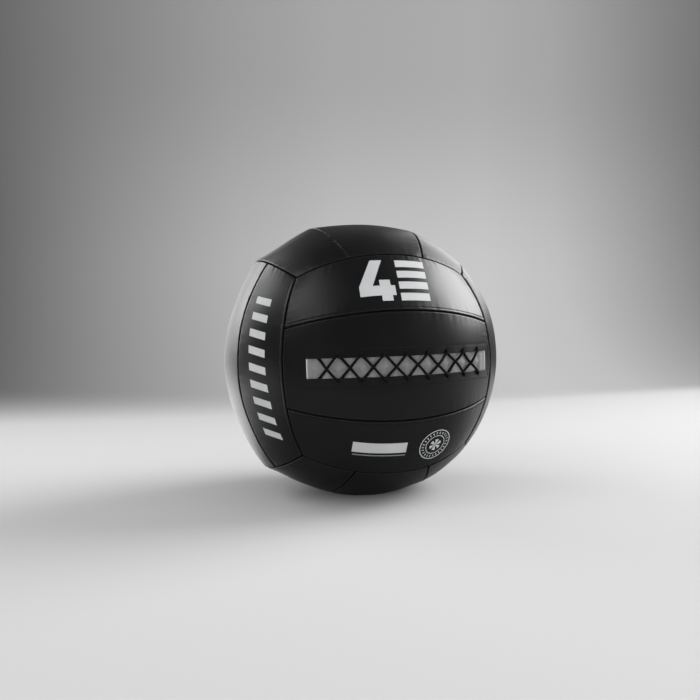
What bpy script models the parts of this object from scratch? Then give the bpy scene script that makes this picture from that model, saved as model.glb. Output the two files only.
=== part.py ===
"""Soft-shell wall ball, 356 mm across: sewn panels round a lining bag, fibre filling and a core sack.

Lengths are in metres and +Z is up. The ball stands on the flat patch that its own weight presses into it,
the laced filling slot faces -Y, and the origin is the middle of the flat patch.
"""
import math

import bmesh
import bpy
import numpy as np
from mathutils import Matrix, Vector

# The ball's outside: centre to the middle of a panel, and how far its weight flattens the bottom
BALL_RADIUS = 0.178
BASE_SINK = 0.007

# The seams stand proud of the panel middles: between strips, between faces, and where three faces meet
STRIP_RIDGE = 0.0055
EDGE_RIDGE = 0.0070
CORNER_RIDGE = 0.0030
RIDGE_POWER = 4
OUTER_STRIP_RISE_SHARE = 0.56
STRIP_SEAM_SHARE = 0.365
CALM_START_SHARE = 0.80
CALM_END_SHARE = 0.95

# The seams stand proud by the same share of those heights all round, but for two places on the ball, each
# given by its turn round the upright axis from +X, its angle over the level and how far it spreads: the
# corner at the upper left sticks out like an ear, and at the lower right the filling rounds the seams out
PROUD_SHARE = 0.67
PROUD_LEAST_SHARE = 0.03
PROUD_EASE_SHARE = 0.20
EAR_TURN = math.radians(161.5)
EAR_LIFT = math.radians(48.0)
EAR_SPREAD = math.radians(19.9)
EAR_SHARE = 0.99
ROUND_TURN = math.radians(-4.0)
ROUND_LIFT = math.radians(-26.0)
ROUND_SPREAD = math.radians(18.8)
ROUND_SHARE = 1.64

# Panels: leather bonded to foam, with shoulders that turn down into the seams
PANEL_THICKNESS = 0.0065
LEATHER_THICKNESS = 0.0014
PANEL_GAP = 0.0003
SHOULDER = 0.0022
OUTER_STRIP_STEPS = 3
MIDDLE_STRIP_STEPS = 4
FINE_FACTOR = 2

# Seam threads lie in the grooves between the shoulders
THREAD_RADIUS = 0.0004
THREAD_CLEARANCE = 0.0005
THREAD_END_INSET = 0.0016

# Touching pieces keep this apart
CLEARANCE = 0.0003

# Filling slot in the front middle panel: margins are measured along the ball from the end seams
SLOT_HEIGHT = 0.0224
SLOT_LEFT_MARGIN = 0.0280
SLOT_RIGHT_MARGIN = 0.0120
POCKET_MARGIN = 0.0080
LIP_WIDTH = 0.0138
CUT_OVERRUN = 0.0030
PATCH_STEP = 0.0140

# Lace: one cord, whipped through both lips so that it crosses itself over the tongue
LACE_RADIUS = 0.0013
LACE_CROSSINGS = 8
LACE_LEFT_MARGIN = 0.0110
LACE_RIGHT_MARGIN = 0.0187
LACE_HOLE_TO_LIP = 0.0040
LACE_HOLE_CLEARANCE = 0.0008
LACE_SPREAD = 0.0034
LACE_LEAN = 0.0010
LACE_CROSS_GAP = 0.0010
LACE_TAIL = 0.0120
LACE_TAIL_STEPS = 2
LACE_LEG_STEPS = 6
LACE_TURN_STEPS = 4
LACE_LOOP_STEPS = 10
HOLE_SIDES = 8

# Tongue and the facings that join it to the lips
TONGUE_THICKNESS = 0.0016
FACING_TO_LACE = 0.0022

# Lining bag and its filling mouth
LINING_THICKNESS = 0.0012
LINING_CLEARANCE = 0.0009
MOUTH_INSET = 0.0020
INNER_OUTER_STEPS = 2
INNER_MIDDLE_STEPS = 4

# Core sack with a gathered neck, its tie and the granules in it
CORE_RADIUS = 0.0500
CORE_WALL = 0.0012
NECK_RADIUS = 0.0060
NECK_WALL = 0.0014
NECK_HEIGHT = 0.0100
NECK_FLARE = 0.0022
TIE_RADIUS = 0.0011
CAVITY_CLEARANCE = 0.0010
CHAMBER_RISE = 0.0030
CHAMBER_COSINE_SHARE = 0.955
CORE_SEGMENTS = 16
CORE_RINGS = 8
TIE_SIDES = 6

# Edges that turn more than this are drawn sharp, and directions this near to a plane lie on it
SHARP_ANGLE = math.radians(30)
ON_PLANE = 1e-6

FACE_HALF_ANGLE = math.pi / 4
SEAM_ANGLE = math.atan(STRIP_SEAM_SHARE)
CENTRE_HEIGHT = BALL_RADIUS - BASE_SINK
CENTRE = np.array([0.0, 0.0, CENTRE_HEIGHT])

# Each face: the way it looks, the way its strips run, and the way across them
FACES = {
    "front": ((0, -1, 0), (1, 0, 0), (0, 0, 1)),
    "back": ((0, 1, 0), (-1, 0, 0), (0, 0, 1)),
    "left": ((-1, 0, 0), (0, 0, 1), (0, 1, 0)),
    "right": ((1, 0, 0), (0, 0, 1), (0, -1, 0)),
    "top": ((0, 0, 1), (0, 1, 0), (-1, 0, 0)),
    "bottom": ((0, 0, -1), (0, 1, 0), (1, 0, 0)),
}
STRIP_NAMES = {
    "front": ("lower", "middle", "upper"),
    "back": ("lower", "middle", "upper"),
    "left": ("front", "middle", "back"),
    "right": ("back", "middle", "front"),
    "top": ("right", "middle", "left"),
    "bottom": ("left", "middle", "right"),
}
FINE_PANELS = ("panel_front_middle", "panel_bottom_middle")
LOOKS = np.array([face[0] for face in FACES.values()], float)
RUNS = np.array([face[1] for face in FACES.values()], float)
ACROSS = np.array([face[2] for face in FACES.values()], float)


def clear_scene():
    for item in list(bpy.data.objects):
        bpy.data.objects.remove(item, do_unlink=True)


def material(name, colour, roughness):
    made = bpy.data.materials.get(name)
    if made is None:
        made = bpy.data.materials.new(name)
        made.use_nodes = True
        shader = made.node_tree.nodes["Principled BSDF"]
        shader.inputs["Base Color"].default_value = (*colour, 1.0)
        shader.inputs["Roughness"].default_value = roughness
    return made


def panel_leather():
    return material("panel_leather", (0.018, 0.018, 0.020), 0.42)


def seam_thread():
    return material("seam_thread", (0.010, 0.010, 0.011), 0.80)


def lace_cord():
    return material("lace_cord", (0.012, 0.012, 0.013), 0.85)


def tongue_cloth():
    return material("tongue_cloth", (0.22, 0.22, 0.23), 0.90)


def facing_cloth():
    return material("facing_cloth", (0.03, 0.03, 0.03), 0.90)


def lining_cloth():
    return material("lining_cloth", (0.30, 0.29, 0.27), 0.90)


def filling_fibre():
    return material("filling_fibre", (0.55, 0.53, 0.50), 0.95)


def core_canvas():
    return material("core_canvas", (0.45, 0.38, 0.28), 0.90)


def core_granules():
    return material("core_granules", (0.16, 0.15, 0.14), 0.70)


def unit(vectors):
    vectors = np.asarray(vectors, float)
    return vectors / np.linalg.norm(vectors, axis=-1, keepdims=True)


def smooth_share(value, start, end):
    share = np.clip((value - start) / (end - start), 0.0, 1.0)
    return share * share * (3 - 2 * share)


def face_angles(directions):
    """Angle along and angle across the strips of the face that each direction points through."""
    towards = directions @ LOOKS.T
    face = towards.argmax(axis=-1)
    depth = np.take_along_axis(towards, face[..., None], -1)[..., 0]
    along = (directions * RUNS[face]).sum(-1)
    across = (directions * ACROSS[face]).sum(-1)
    return np.arctan2(along, depth), np.arctan2(across, depth)


def near_place(directions, turn, lift, spread):
    """One at a place on the ball, falling off round it like a bell of the given spread."""
    place = np.array([math.cos(turn) * math.cos(lift), math.sin(turn) * math.cos(lift), math.sin(lift)])
    return np.exp((directions @ place - 1) / spread**2)


def proud_share(directions):
    """How proud the seams stand by direction: even, more at the ear, and eased to the least where rounded."""
    share = PROUD_SHARE + EAR_SHARE * near_place(directions, EAR_TURN, EAR_LIFT, EAR_SPREAD)
    share = share - ROUND_SHARE * near_place(directions, ROUND_TURN, ROUND_LIFT, ROUND_SPREAD)
    over = share - PROUD_LEAST_SHARE
    return PROUD_LEAST_SHARE + (over + np.sqrt(over**2 + PROUD_EASE_SHARE**2)) / 2


def skin_radius(directions):
    """Distance from the centre to the outside of the ball.

    Across a strip the height over the ball rises to its seams, along a strip it rises to the ends as a
    power of the angle, and the two agree on the seams between faces. The rise is scaled by how proud the
    seams stand, and fades out towards the bottom, which the floor cuts flat.
    """
    along, across = face_angles(directions)
    side = np.abs(across)
    end_rise = (np.abs(along) / FACE_HALF_ANGLE) ** RIDGE_POWER
    middle_strip = STRIP_RIDGE * (side / SEAM_ANGLE) ** 2
    share = np.clip((side - SEAM_ANGLE) / (FACE_HALF_ANGLE - SEAM_ANGLE), 0.0, 1.0)
    between = STRIP_RIDGE + (EDGE_RIDGE - STRIP_RIDGE) * share
    outer_strip = between * (1 - 4 * share * (1 - share) * (1 - OUTER_STRIP_RISE_SHARE))
    strip = np.where(side < SEAM_ANGLE, middle_strip, outer_strip)
    edge = EDGE_RIDGE + (CORNER_RIDGE - EDGE_RIDGE) * (side / FACE_HALF_ANGLE) ** RIDGE_POWER
    rise = strip * (1 - end_rise) + edge * end_rise
    down = -directions[..., 2]
    calm = smooth_share(down, CALM_START_SHARE, CALM_END_SHARE)
    free = BALL_RADIUS + rise * proud_share(directions) * (1 - calm)
    floor = np.where(down > CALM_START_SHARE, CENTRE_HEIGHT / np.maximum(down, CALM_START_SHARE), free)
    return np.minimum(free, floor)


def ball_points(directions, depth):
    """Points at a depth under the ball's outside."""
    directions = unit(directions)
    return CENTRE + directions * (skin_radius(directions) - depth)[..., None]


def face_directions(face, along, across):
    look, run, side = (np.array(axis, float) for axis in FACES[face])
    return unit(look + np.tan(along)[..., None] * run + np.tan(across)[..., None] * side)


def strip_nodes(outer_steps, middle_steps):
    """Angles of the grid lines across one face: three strips, each in even steps."""
    low = np.linspace(-FACE_HALF_ANGLE, -SEAM_ANGLE, outer_steps + 1)
    middle = np.linspace(-SEAM_ANGLE, SEAM_ANGLE, middle_steps + 1)
    return np.concatenate([low, middle[1:], -low[::-1][1:]])


def halved(nodes, factor):
    """The same grid lines with each step divided."""
    places = np.arange((len(nodes) - 1) * factor + 1) / factor
    return np.interp(places, np.arange(len(nodes)), nodes)


def inset_angles(nodes, other, inset):
    """Grid angles whose two outer lines lie a distance inside the seam planes."""
    lines = np.repeat(nodes[:, None], len(other), axis=1)
    flat = np.tan(lines)
    width = np.sqrt((1 + flat**2) / (1 + flat**2 + np.tan(other)[None, :] ** 2))
    turn = np.arcsin(inset / (BALL_RADIUS * width))
    first, last = lines[0] + turn[0], lines[-1] - turn[-1]
    return np.clip(lines, first, last)


def grid_points(face, along, across, inset, depth):
    """Points of a panel grid, drawn in from its four seams by the inset."""
    lines = inset_angles(along, across, inset)
    rows = inset_angles(across, along, inset).T
    return ball_points(face_directions(face, lines, rows), depth)


def border(columns, rows):
    """Grid indices round the outside of a grid, anticlockwise seen from outside the ball."""
    bottom = [(i, 0) for i in range(columns - 1)]
    right = [(columns - 1, j) for j in range(rows - 1)]
    top = [(i, rows - 1) for i in range(columns - 1, 0, -1)]
    left = [(0, j) for j in range(rows - 1, 0, -1)]
    return bottom + right + top + left


def layered_solid(outer, rings, inner):
    """Closed solid from an outer grid, rings of points round its border, and an inner grid."""
    columns, rows = outer.shape[:2]
    loop = border(columns, rows)
    points = [outer.reshape(-1, 3)]
    points += [np.array([ring[i, j] for i, j in loop]) for ring in rings]
    points.append(inner.reshape(-1, 3))
    starts = np.cumsum([0] + [len(group) for group in points])
    faces = []
    for i in range(columns - 1):
        for j in range(rows - 1):
            corner = [(i, j), (i + 1, j), (i + 1, j + 1), (i, j + 1)]
            a, b, c, d = [column * rows + row for column, row in corner]
            faces += [(a, b, c), (a, c, d)]
            low = starts[-2]
            faces += [(low + c, low + b, low + a), (low + d, low + c, low + a)]
    chains = [[i * rows + j for i, j in loop]]
    chains += [[starts[k + 1] + n for n in range(len(loop))] for k in range(len(rings))]
    chains.append([starts[-2] + i * rows + j for i, j in loop])
    for upper, lower in zip(chains[:-1], chains[1:]):
        for n in range(len(loop)):
            m = (n + 1) % len(loop)
            faces.append((upper[n], lower[n], lower[m], upper[m]))
    return np.concatenate(points), faces


def add_object(name, data, finish):
    made = bpy.data.objects.new(name, data)
    data.materials.append(finish)
    bpy.context.scene.collection.objects.link(made)
    return made


def add_mesh(name, points, faces, finish):
    mesh = bpy.data.meshes.new(name)
    mesh.from_pydata([tuple(p) for p in points], [], [tuple(int(i) for i in f) for f in faces])
    mesh.shade_smooth()
    mesh.set_sharp_from_angle(angle=SHARP_ANGLE)
    return add_object(name, mesh, finish)


def add_shape(name, shape, finish):
    """An object from a bmesh, with its faces turned outwards."""
    bmesh.ops.recalc_face_normals(shape, faces=shape.faces)
    mesh = bpy.data.meshes.new(name)
    shape.to_mesh(mesh)
    shape.free()
    mesh.shade_smooth()
    mesh.set_sharp_from_angle(angle=SHARP_ANGLE)
    return add_object(name, mesh, finish)


def hide_cutter(cutter):
    cutter.hide_render = True
    cutter.display_type = "WIRE"


def cut(target, cutter):
    hide_cutter(cutter)
    step = target.modifiers.new(cutter.name, "BOOLEAN")
    step.operation = "DIFFERENCE"
    step.solver = "EXACT"
    step.object = cutter


def add_panel(face, strip, nodes):
    """One leather panel on its foam: crowned outside, shoulders down into the seams, even thickness."""
    name = f"panel_{face}_{STRIP_NAMES[face][strip]}"
    starts = (0, OUTER_STRIP_STEPS, OUTER_STRIP_STEPS + MIDDLE_STRIP_STEPS, len(nodes) - 1)
    along = nodes
    across = nodes[starts[strip]:starts[strip + 1] + 1]
    if name in FINE_PANELS:
        along = halved(along, FINE_FACTOR)
        across = halved(across, FINE_FACTOR)
    wall = PANEL_GAP / 2
    outer = grid_points(face, along, across, wall + SHOULDER, 0.0)
    ring = grid_points(face, along, across, wall, SHOULDER)
    inner = grid_points(face, along, across, wall, PANEL_THICKNESS)
    points, faces = layered_solid(outer, [ring], inner)
    return add_mesh(name, points, faces, panel_leather())


def add_panels(nodes):
    made = {}
    for face in FACES:
        for strip in range(3):
            panel = add_panel(face, strip, nodes)
            made[panel.name] = panel
    return made


def thread_depth():
    """Depth at which a thread clears both shoulders of a seam groove."""
    mouth = SHOULDER + PANEL_GAP / 2
    return mouth - math.sqrt(2) * (THREAD_RADIUS + THREAD_CLEARANCE)


def add_tube(name, points, radius, resolution, finish):
    """A curve object swept round, with filled ends."""
    curve = bpy.data.curves.new(name, "CURVE")
    curve.dimensions = "3D"
    curve.bevel_depth = radius
    curve.bevel_resolution = resolution
    curve.use_fill_caps = True
    spline = curve.splines.new("POLY")
    spline.points.add(len(points) - 1)
    for place, point in zip(spline.points, points):
        place.co = (*point, 1.0)
    return add_object(name, curve, finish)


def thread_points(directions):
    points = ball_points(directions, thread_depth())
    first, last = unit(points[1] - points[0]), unit(points[-1] - points[-2])
    points[0] += first * THREAD_END_INSET
    points[-1] -= last * THREAD_END_INSET
    return points


def add_strip_threads(nodes):
    """Threads of the seams between the strips of one face."""
    for face in FACES:
        names = STRIP_NAMES[face]
        for side, neighbour in ((-1, names[0]), (1, names[2])):
            directions = face_directions(face, nodes, np.full(len(nodes), side * SEAM_ANGLE))
            name = f"thread_{face}_{neighbour}_middle"
            add_tube(name, thread_points(directions), THREAD_RADIUS, 0, seam_thread())


def add_edge_threads(nodes):
    """Threads of the seams between two faces."""
    names = list(FACES)
    for i, first in enumerate(names):
        for second in names[i + 1:]:
            look_a, look_b = np.array(FACES[first][0], float), np.array(FACES[second][0], float)
            if abs(look_a @ look_b) > 0:
                continue
            run = np.cross(look_a, look_b)
            directions = unit(look_a + look_b + np.tan(nodes)[:, None] * run)
            add_tube(f"thread_{first}_{second}", thread_points(directions), THREAD_RADIUS, 0, seam_thread())


def slot_ends():
    """Angles of the slot's two ends round the ball's upright axis."""
    left = -FACE_HALF_ANGLE + SLOT_LEFT_MARGIN / BALL_RADIUS
    right = FACE_HALF_ANGLE - SLOT_RIGHT_MARGIN / BALL_RADIUS
    return left, right


def front_points(angles, heights, depth):
    """Points behind the front face, by angle round the upright axis and height over the ball's middle."""
    lift = np.arcsin(np.asarray(heights, float) / BALL_RADIUS)
    angles = np.asarray(angles, float)
    flat = np.cos(lift)
    directions = np.stack([np.sin(angles) * flat, -np.cos(angles) * flat, np.sin(lift)], axis=-1)
    return ball_points(directions, np.asarray(depth, float))


def front_patch(name, ends, heights, depths, finish):
    """Curved plate that follows the front of the ball between two angles, two heights and two depths."""
    steps = max(2, round((ends[1] - ends[0]) * BALL_RADIUS / PATCH_STEP))
    rows = max(1, round((heights[1] - heights[0]) / PATCH_STEP))
    along, up = np.meshgrid(np.linspace(*ends, steps + 1), np.linspace(*heights, rows + 1), indexing="ij")
    outer = front_points(along, up, depths[0])
    inner = front_points(along, up, depths[1])
    points, faces = layered_solid(outer, [], inner)
    return add_mesh(name, points, faces, finish)


def hole_places():
    """Angles of the lace holes along each lip, and their height over and under the slot's middle line."""
    left, right = slot_ends()
    first = left + LACE_LEFT_MARGIN / BALL_RADIUS
    last = right - LACE_RIGHT_MARGIN / BALL_RADIUS
    return np.linspace(first, last, LACE_CROSSINGS + 1), SLOT_HEIGHT / 2 + LACE_HOLE_TO_LIP


def add_hole_cutter():
    """All the lace holes of both lips as one cutter, each square to the leather."""
    shape = bmesh.new()
    angles, height = hole_places()
    length = LEATHER_THICKNESS + 2 * CUT_OVERRUN
    radius = LACE_RADIUS + LACE_HOLE_CLEARANCE
    for angle in angles:
        for side in (-1, 1):
            middle = Vector(front_points([angle], [side * height], LEATHER_THICKNESS / 2)[0])
            outward = (middle - Vector(CENTRE)).normalized()
            place = Matrix.Translation(middle) @ outward.to_track_quat("Z", "Y").to_matrix().to_4x4()
            bmesh.ops.create_cone(shape, cap_ends=True, segments=HOLE_SIDES, radius1=radius, radius2=radius,
                                  depth=length, matrix=place)
    return add_shape("cutter_lace_holes", shape, panel_leather())


def pocket_ends():
    left, right = slot_ends()
    return left - POCKET_MARGIN / BALL_RADIUS, right + POCKET_MARGIN / BALL_RADIUS


def pocket_reach():
    """Height of the skived pocket over the slot's middle line."""
    return SLOT_HEIGHT / 2 + LIP_WIDTH


def open_slot(panel):
    """Skives the foam away behind the lips, then cuts the slot and the lace holes through the leather."""
    reach = pocket_reach()
    pocket = front_patch("cutter_pocket", pocket_ends(), (-reach, reach),
                         (LEATHER_THICKNESS, PANEL_THICKNESS + CUT_OVERRUN), panel_leather())
    cut(panel, pocket)
    half = SLOT_HEIGHT / 2
    slot = front_patch("cutter_slot", slot_ends(), (-half, half),
                       (-CUT_OVERRUN, LEATHER_THICKNESS + CUT_OVERRUN), panel_leather())
    cut(panel, slot)
    cut(panel, add_hole_cutter())


def lace_under():
    return -(LEATHER_THICKNESS + CLEARANCE + LACE_RADIUS)


def lace_over():
    return CLEARANCE + LACE_RADIUS


def tongue_depth():
    """Top of the tongue: clear of the lace where it runs under the lips."""
    return LACE_RADIUS + CLEARANCE - lace_under()


def add_tongue():
    reach = pocket_reach() - CLEARANCE
    left, right = pocket_ends()
    margin = CLEARANCE / BALL_RADIUS
    return front_patch("slot_tongue", (left + margin, right - margin), (-reach, reach),
                       (tongue_depth(), tongue_depth() + TONGUE_THICKNESS), tongue_cloth())


def add_facings():
    """Strips sewn between the lips and the tongue, clear of the lace."""
    outer_edge = pocket_reach() - CLEARANCE
    inner_edge = SLOT_HEIGHT / 2 + LACE_HOLE_TO_LIP + LACE_RADIUS + FACING_TO_LACE
    depths = (LEATHER_THICKNESS + CLEARANCE, tongue_depth() - CLEARANCE)
    left, right = pocket_ends()
    margin = CLEARANCE / BALL_RADIUS
    for name, heights in (("slot_facing_upper", (inner_edge, outer_edge)),
                          ("slot_facing_lower", (-outer_edge, -inner_edge))):
        front_patch(name, (left + margin, right - margin), heights, depths, facing_cloth())


def lace_leg(start, end, side, bump):
    """One leg over the slot: from under one lip to over the other, raised or lowered where it crosses."""
    share = np.arange(LACE_LEG_STEPS) / LACE_LEG_STEPS
    ease = smooth_share(share, 0.0, 1.0)
    half = SLOT_HEIGHT / 2
    spread = LACE_SPREAD / BALL_RADIUS
    angles = start + spread + (end - start - 2 * spread) * share
    heights = side * half * (1 - 2 * share)
    rise = lace_under() + (lace_over() - lace_under()) * ease + bump * np.sin(np.pi * share) ** 2
    return np.stack([angles, heights, rise], axis=1)


def lace_turn(angle, side, entering=True):
    """The whip round a lip: over the edge, down through the hole and back under the leather."""
    radius = (lace_over() - lace_under()) / 2
    middle = (lace_over() + lace_under()) / 2
    hole = SLOT_HEIGHT / 2 + LACE_HOLE_TO_LIP
    lean = LACE_LEAN / BALL_RADIUS
    turn = np.linspace(math.pi / 2, -math.pi / 2, LACE_TURN_STEPS + 1)
    rows = np.stack([angle - lean * np.sin(turn), side * (hole - radius + radius * np.cos(turn)),
                     middle + radius * np.sin(turn)], axis=1)
    edge = SLOT_HEIGHT / 2
    spread = LACE_SPREAD / BALL_RADIUS
    if not entering:
        return rows[LACE_TURN_STEPS:]
    arrive = np.array([(angle - spread, side * edge, lace_over())])
    return np.concatenate([arrive, rows])


def lace_strand(first_side, bump):
    """A strand from the left end of the slot to the right end, with a turn at every hole that it uses."""
    angles, _ = hole_places()
    side = first_side
    parts = [lace_turn(angles[0], side, entering=False)]
    for k in range(LACE_CROSSINGS):
        parts.append(lace_leg(angles[k], angles[k + 1], side, bump))
        side = -side
        parts.append(lace_turn(angles[k + 1], side))
    hole = SLOT_HEIGHT / 2 + LACE_HOLE_TO_LIP
    radius = (lace_over() - lace_under()) / 2
    tail = angles[-1] + LACE_TAIL / BALL_RADIUS * np.arange(1, LACE_TAIL_STEPS + 1) / LACE_TAIL_STEPS
    rows = np.full(LACE_TAIL_STEPS, side * (hole - radius))
    parts.append(np.stack([tail, rows, np.full(LACE_TAIL_STEPS, lace_under())], axis=1))
    return np.concatenate(parts)


def lace_route():
    """The whole lace: one strand back, round behind the slot's left end, and the other strand forth."""
    angles, hole = hole_places()
    radius = (lace_over() - lace_under()) / 2
    reach = hole - radius
    width = (LACE_LEFT_MARGIN + POCKET_MARGIN / 2) / BALL_RADIUS
    turn = np.linspace(math.pi / 2, 3 * math.pi / 2, LACE_LOOP_STEPS + 1)[1:-1]
    loop = np.stack([angles[0] + width * np.cos(turn), reach * np.sin(turn),
                     np.full(len(turn), lace_under())], axis=1)
    bump = LACE_RADIUS + LACE_CROSS_GAP / 2
    upper = lace_strand(1, bump)
    lower = lace_strand(-1, -bump)
    return np.concatenate([upper[::-1], loop, lower])


def least_self_gap(points, radius):
    """Least gap between stretches of a tube that lie more than a bend apart along it."""
    steps = np.linalg.norm(np.diff(points, axis=0), axis=1)
    length = np.concatenate([[0], np.cumsum(steps)])
    places = np.arange(0, length[-1], radius / 2)
    fine = np.stack([np.interp(places, length, points[:, k]) for k in range(3)], axis=1)
    apart = np.linalg.norm(fine[:, None] - fine[None], axis=2)
    near = np.abs(places[:, None] - places[None]) < 2 * math.pi * radius
    apart[near] = np.inf
    return apart.min() - 2 * radius, length[-1]


def add_lace():
    route = lace_route()
    points = front_points(route[:, 0], route[:, 1], -route[:, 2])
    gap, length = least_self_gap(points, LACE_RADIUS)
    print(f"lace: {len(points)} points, {length:.3f} m long, least gap to itself {gap * 1000:.2f} mm")
    return add_tube("lace", points, LACE_RADIUS, 1, lace_cord())


def half_shell(name, axis, side, outer_radius, inner_radius, finish):
    """Half of a hollow ball that follows the panels, cut on the plane through the centre across an axis."""
    nodes = strip_nodes(INNER_OUTER_STEPS, INNER_MIDDLE_STEPS)
    shape = bmesh.new()
    known = {}

    def vertex(direction, layer):
        key = (layer, *np.round(direction, 6))
        if key not in known:
            radius = (outer_radius if layer == 0 else inner_radius)(direction[None])[0]
            point = CENTRE + direction * radius
            if abs(direction[axis]) < ON_PLANE:
                point[axis] += side * PANEL_GAP / 2
            known[key] = shape.verts.new(point)
        return known[key]

    for face in FACES:
        along, across = np.meshgrid(nodes, nodes, indexing="ij")
        grid = face_directions(face, along, across)
        for i in range(len(nodes) - 1):
            for j in range(len(nodes) - 1):
                corners = [grid[i, j], grid[i + 1, j], grid[i + 1, j + 1], grid[i, j + 1]]
                if side * sum(corner[axis] for corner in corners) < 0:
                    continue
                a, b, c, d = [vertex(corner, 0) for corner in corners]
                shape.faces.new((a, b, c))
                shape.faces.new((a, c, d))
                a, b, c, d = [vertex(corner, 1) for corner in corners]
                shape.faces.new((c, b, a))
                shape.faces.new((d, c, a))
    rim = [edge for edge in shape.edges if edge.is_boundary]
    bmesh.ops.bridge_loops(shape, edges=rim)
    return add_shape(name, shape, finish)


def lining_outside(directions):
    return skin_radius(directions) - PANEL_THICKNESS - LINING_CLEARANCE


def lining_inside(directions):
    return lining_outside(directions) - LINING_THICKNESS


def filling_outside(directions):
    return lining_inside(directions) - CLEARANCE


def cavity_radius(directions):
    """Hollow for the core sack, with a taller, flat-topped chamber over its neck."""
    up = directions[..., 2]
    chamber = (CORE_RADIUS + NECK_HEIGHT + CHAMBER_RISE) / np.maximum(up, CHAMBER_COSINE_SHARE)
    return np.where(up > CHAMBER_COSINE_SHARE, chamber, CORE_RADIUS + CAVITY_CLEARANCE)


def add_lining():
    """Lining bag in a front and a back half, the front one with the filling mouth behind the slot."""
    front = half_shell("lining_front", 1, -1, lining_outside, lining_inside, lining_cloth())
    half_shell("lining_back", 1, 1, lining_outside, lining_inside, lining_cloth())
    left, right = slot_ends()
    inset = MOUTH_INSET / BALL_RADIUS
    half = SLOT_HEIGHT / 2 - MOUTH_INSET
    depth = PANEL_THICKNESS + LINING_CLEARANCE
    mouth = front_patch("cutter_mouth", (left + inset, right - inset), (-half, half),
                        (depth - CUT_OVERRUN, depth + LINING_THICKNESS + 2 * CUT_OVERRUN), lining_cloth())
    cut(front, mouth)


def add_filling():
    half_shell("filling_upper", 2, 1, filling_outside, cavity_radius, filling_fibre())
    half_shell("filling_lower", 2, -1, filling_outside, cavity_radius, filling_fibre())


def turned(name, profile, finish):
    """Solid turned round the upright axis through the ball's centre, from (radius, height) pairs."""
    shape = bmesh.new()
    rings = []
    for radius, height in profile:
        if radius == 0:
            rings.append([shape.verts.new((0, 0, height + CENTRE_HEIGHT))])
            continue
        ring = []
        for k in range(CORE_SEGMENTS):
            angle = 2 * math.pi * k / CORE_SEGMENTS
            place = (radius * math.cos(angle), radius * math.sin(angle), height + CENTRE_HEIGHT)
            ring.append(shape.verts.new(place))
        rings.append(ring)
    for first, second in zip(rings[:-1], rings[1:]):
        for k in range(CORE_SEGMENTS):
            m = (k + 1) % CORE_SEGMENTS
            if len(first) == 1:
                shape.faces.new((first[0], second[k], second[m]))
            elif len(second) == 1:
                shape.faces.new((first[k], second[0], first[m]))
            else:
                shape.faces.new((first[k], second[k], second[m], first[m]))
    return add_shape(name, shape, finish)


def bowl_profile(radius, neck_radius):
    """Arc from the bottom pole up to where a neck of the given radius leaves the ball."""
    end = math.asin(neck_radius / radius)
    angles = np.linspace(math.pi, end, CORE_RINGS + 1)
    rows = [(radius * math.sin(angle), radius * math.cos(angle)) for angle in angles]
    rows[0] = (0.0, -radius)
    return rows


def add_core():
    """Core sack with an open gathered neck, the granules in it, and the tie round the neck."""
    bore = NECK_RADIUS - NECK_WALL
    neck_top = CORE_RADIUS + NECK_HEIGHT
    outside = bowl_profile(CORE_RADIUS, NECK_RADIUS) + [(NECK_RADIUS, CORE_RADIUS + NECK_HEIGHT / 2)]
    outside.append((NECK_RADIUS + NECK_FLARE, neck_top))
    inside = bowl_profile(CORE_RADIUS - CORE_WALL, bore) + [(bore, CORE_RADIUS + NECK_HEIGHT / 2)]
    inside.append((bore + NECK_FLARE, neck_top))
    turned("core_sack", outside + inside[::-1], core_canvas())
    granules = bowl_profile(CORE_RADIUS - CORE_WALL - CLEARANCE, bore)
    granules.append((0.0, granules[-1][1]))
    turned("core_granules", granules, core_granules())
    ring = NECK_RADIUS + CLEARANCE + TIE_RADIUS
    height = CORE_RADIUS + NECK_HEIGHT / 4
    add_ring("core_tie", ring, height)


def add_ring(name, radius, height):
    shape = bmesh.new()
    rings = []
    for k in range(CORE_SEGMENTS):
        angle = 2 * math.pi * k / CORE_SEGMENTS
        outward = Vector((math.cos(angle), math.sin(angle), 0))
        centre = outward * radius + Vector((0, 0, CENTRE_HEIGHT + height))
        ring = []
        for n in range(TIE_SIDES):
            turn = 2 * math.pi * n / TIE_SIDES
            ring.append(shape.verts.new(centre + outward * (TIE_RADIUS * math.cos(turn))
                                        + Vector((0, 0, TIE_RADIUS * math.sin(turn)))))
        rings.append(ring)
    for k in range(CORE_SEGMENTS):
        first, second = rings[k], rings[(k + 1) % CORE_SEGMENTS]
        for n in range(TIE_SIDES):
            m = (n + 1) % TIE_SIDES
            shape.faces.new((first[n], second[n], second[m], first[m]))
    return add_shape(name, shape, core_canvas())


def build():
    clear_scene()
    nodes = strip_nodes(OUTER_STRIP_STEPS, MIDDLE_STRIP_STEPS)
    panels = add_panels(nodes)
    open_slot(panels["panel_front_middle"])
    add_strip_threads(nodes)
    add_edge_threads(nodes)
    add_tongue()
    add_facings()
    add_lace()
    add_lining()
    add_filling()
    add_core()


build()
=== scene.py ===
# %% [markdown]
# # A soft-shell wall ball
# A wall ball is a big soft ball that is thrown against a wall and caught. Eighteen panels of black
# synthetic leather on foam are sewn round a lining bag, which holds loose fibre and a small sack of
# heavy granules. The bag is filled through a slot in the front, which a grey tongue and one black lace
# close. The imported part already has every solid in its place. This lesson puts the visible surfaces
# over it: finer panels, stitches, a braided lace, woven cloth and printed marks.

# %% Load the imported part
import math

import bmesh
import bpy
import numpy as np
from mathutils import Matrix, Vector


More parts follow.
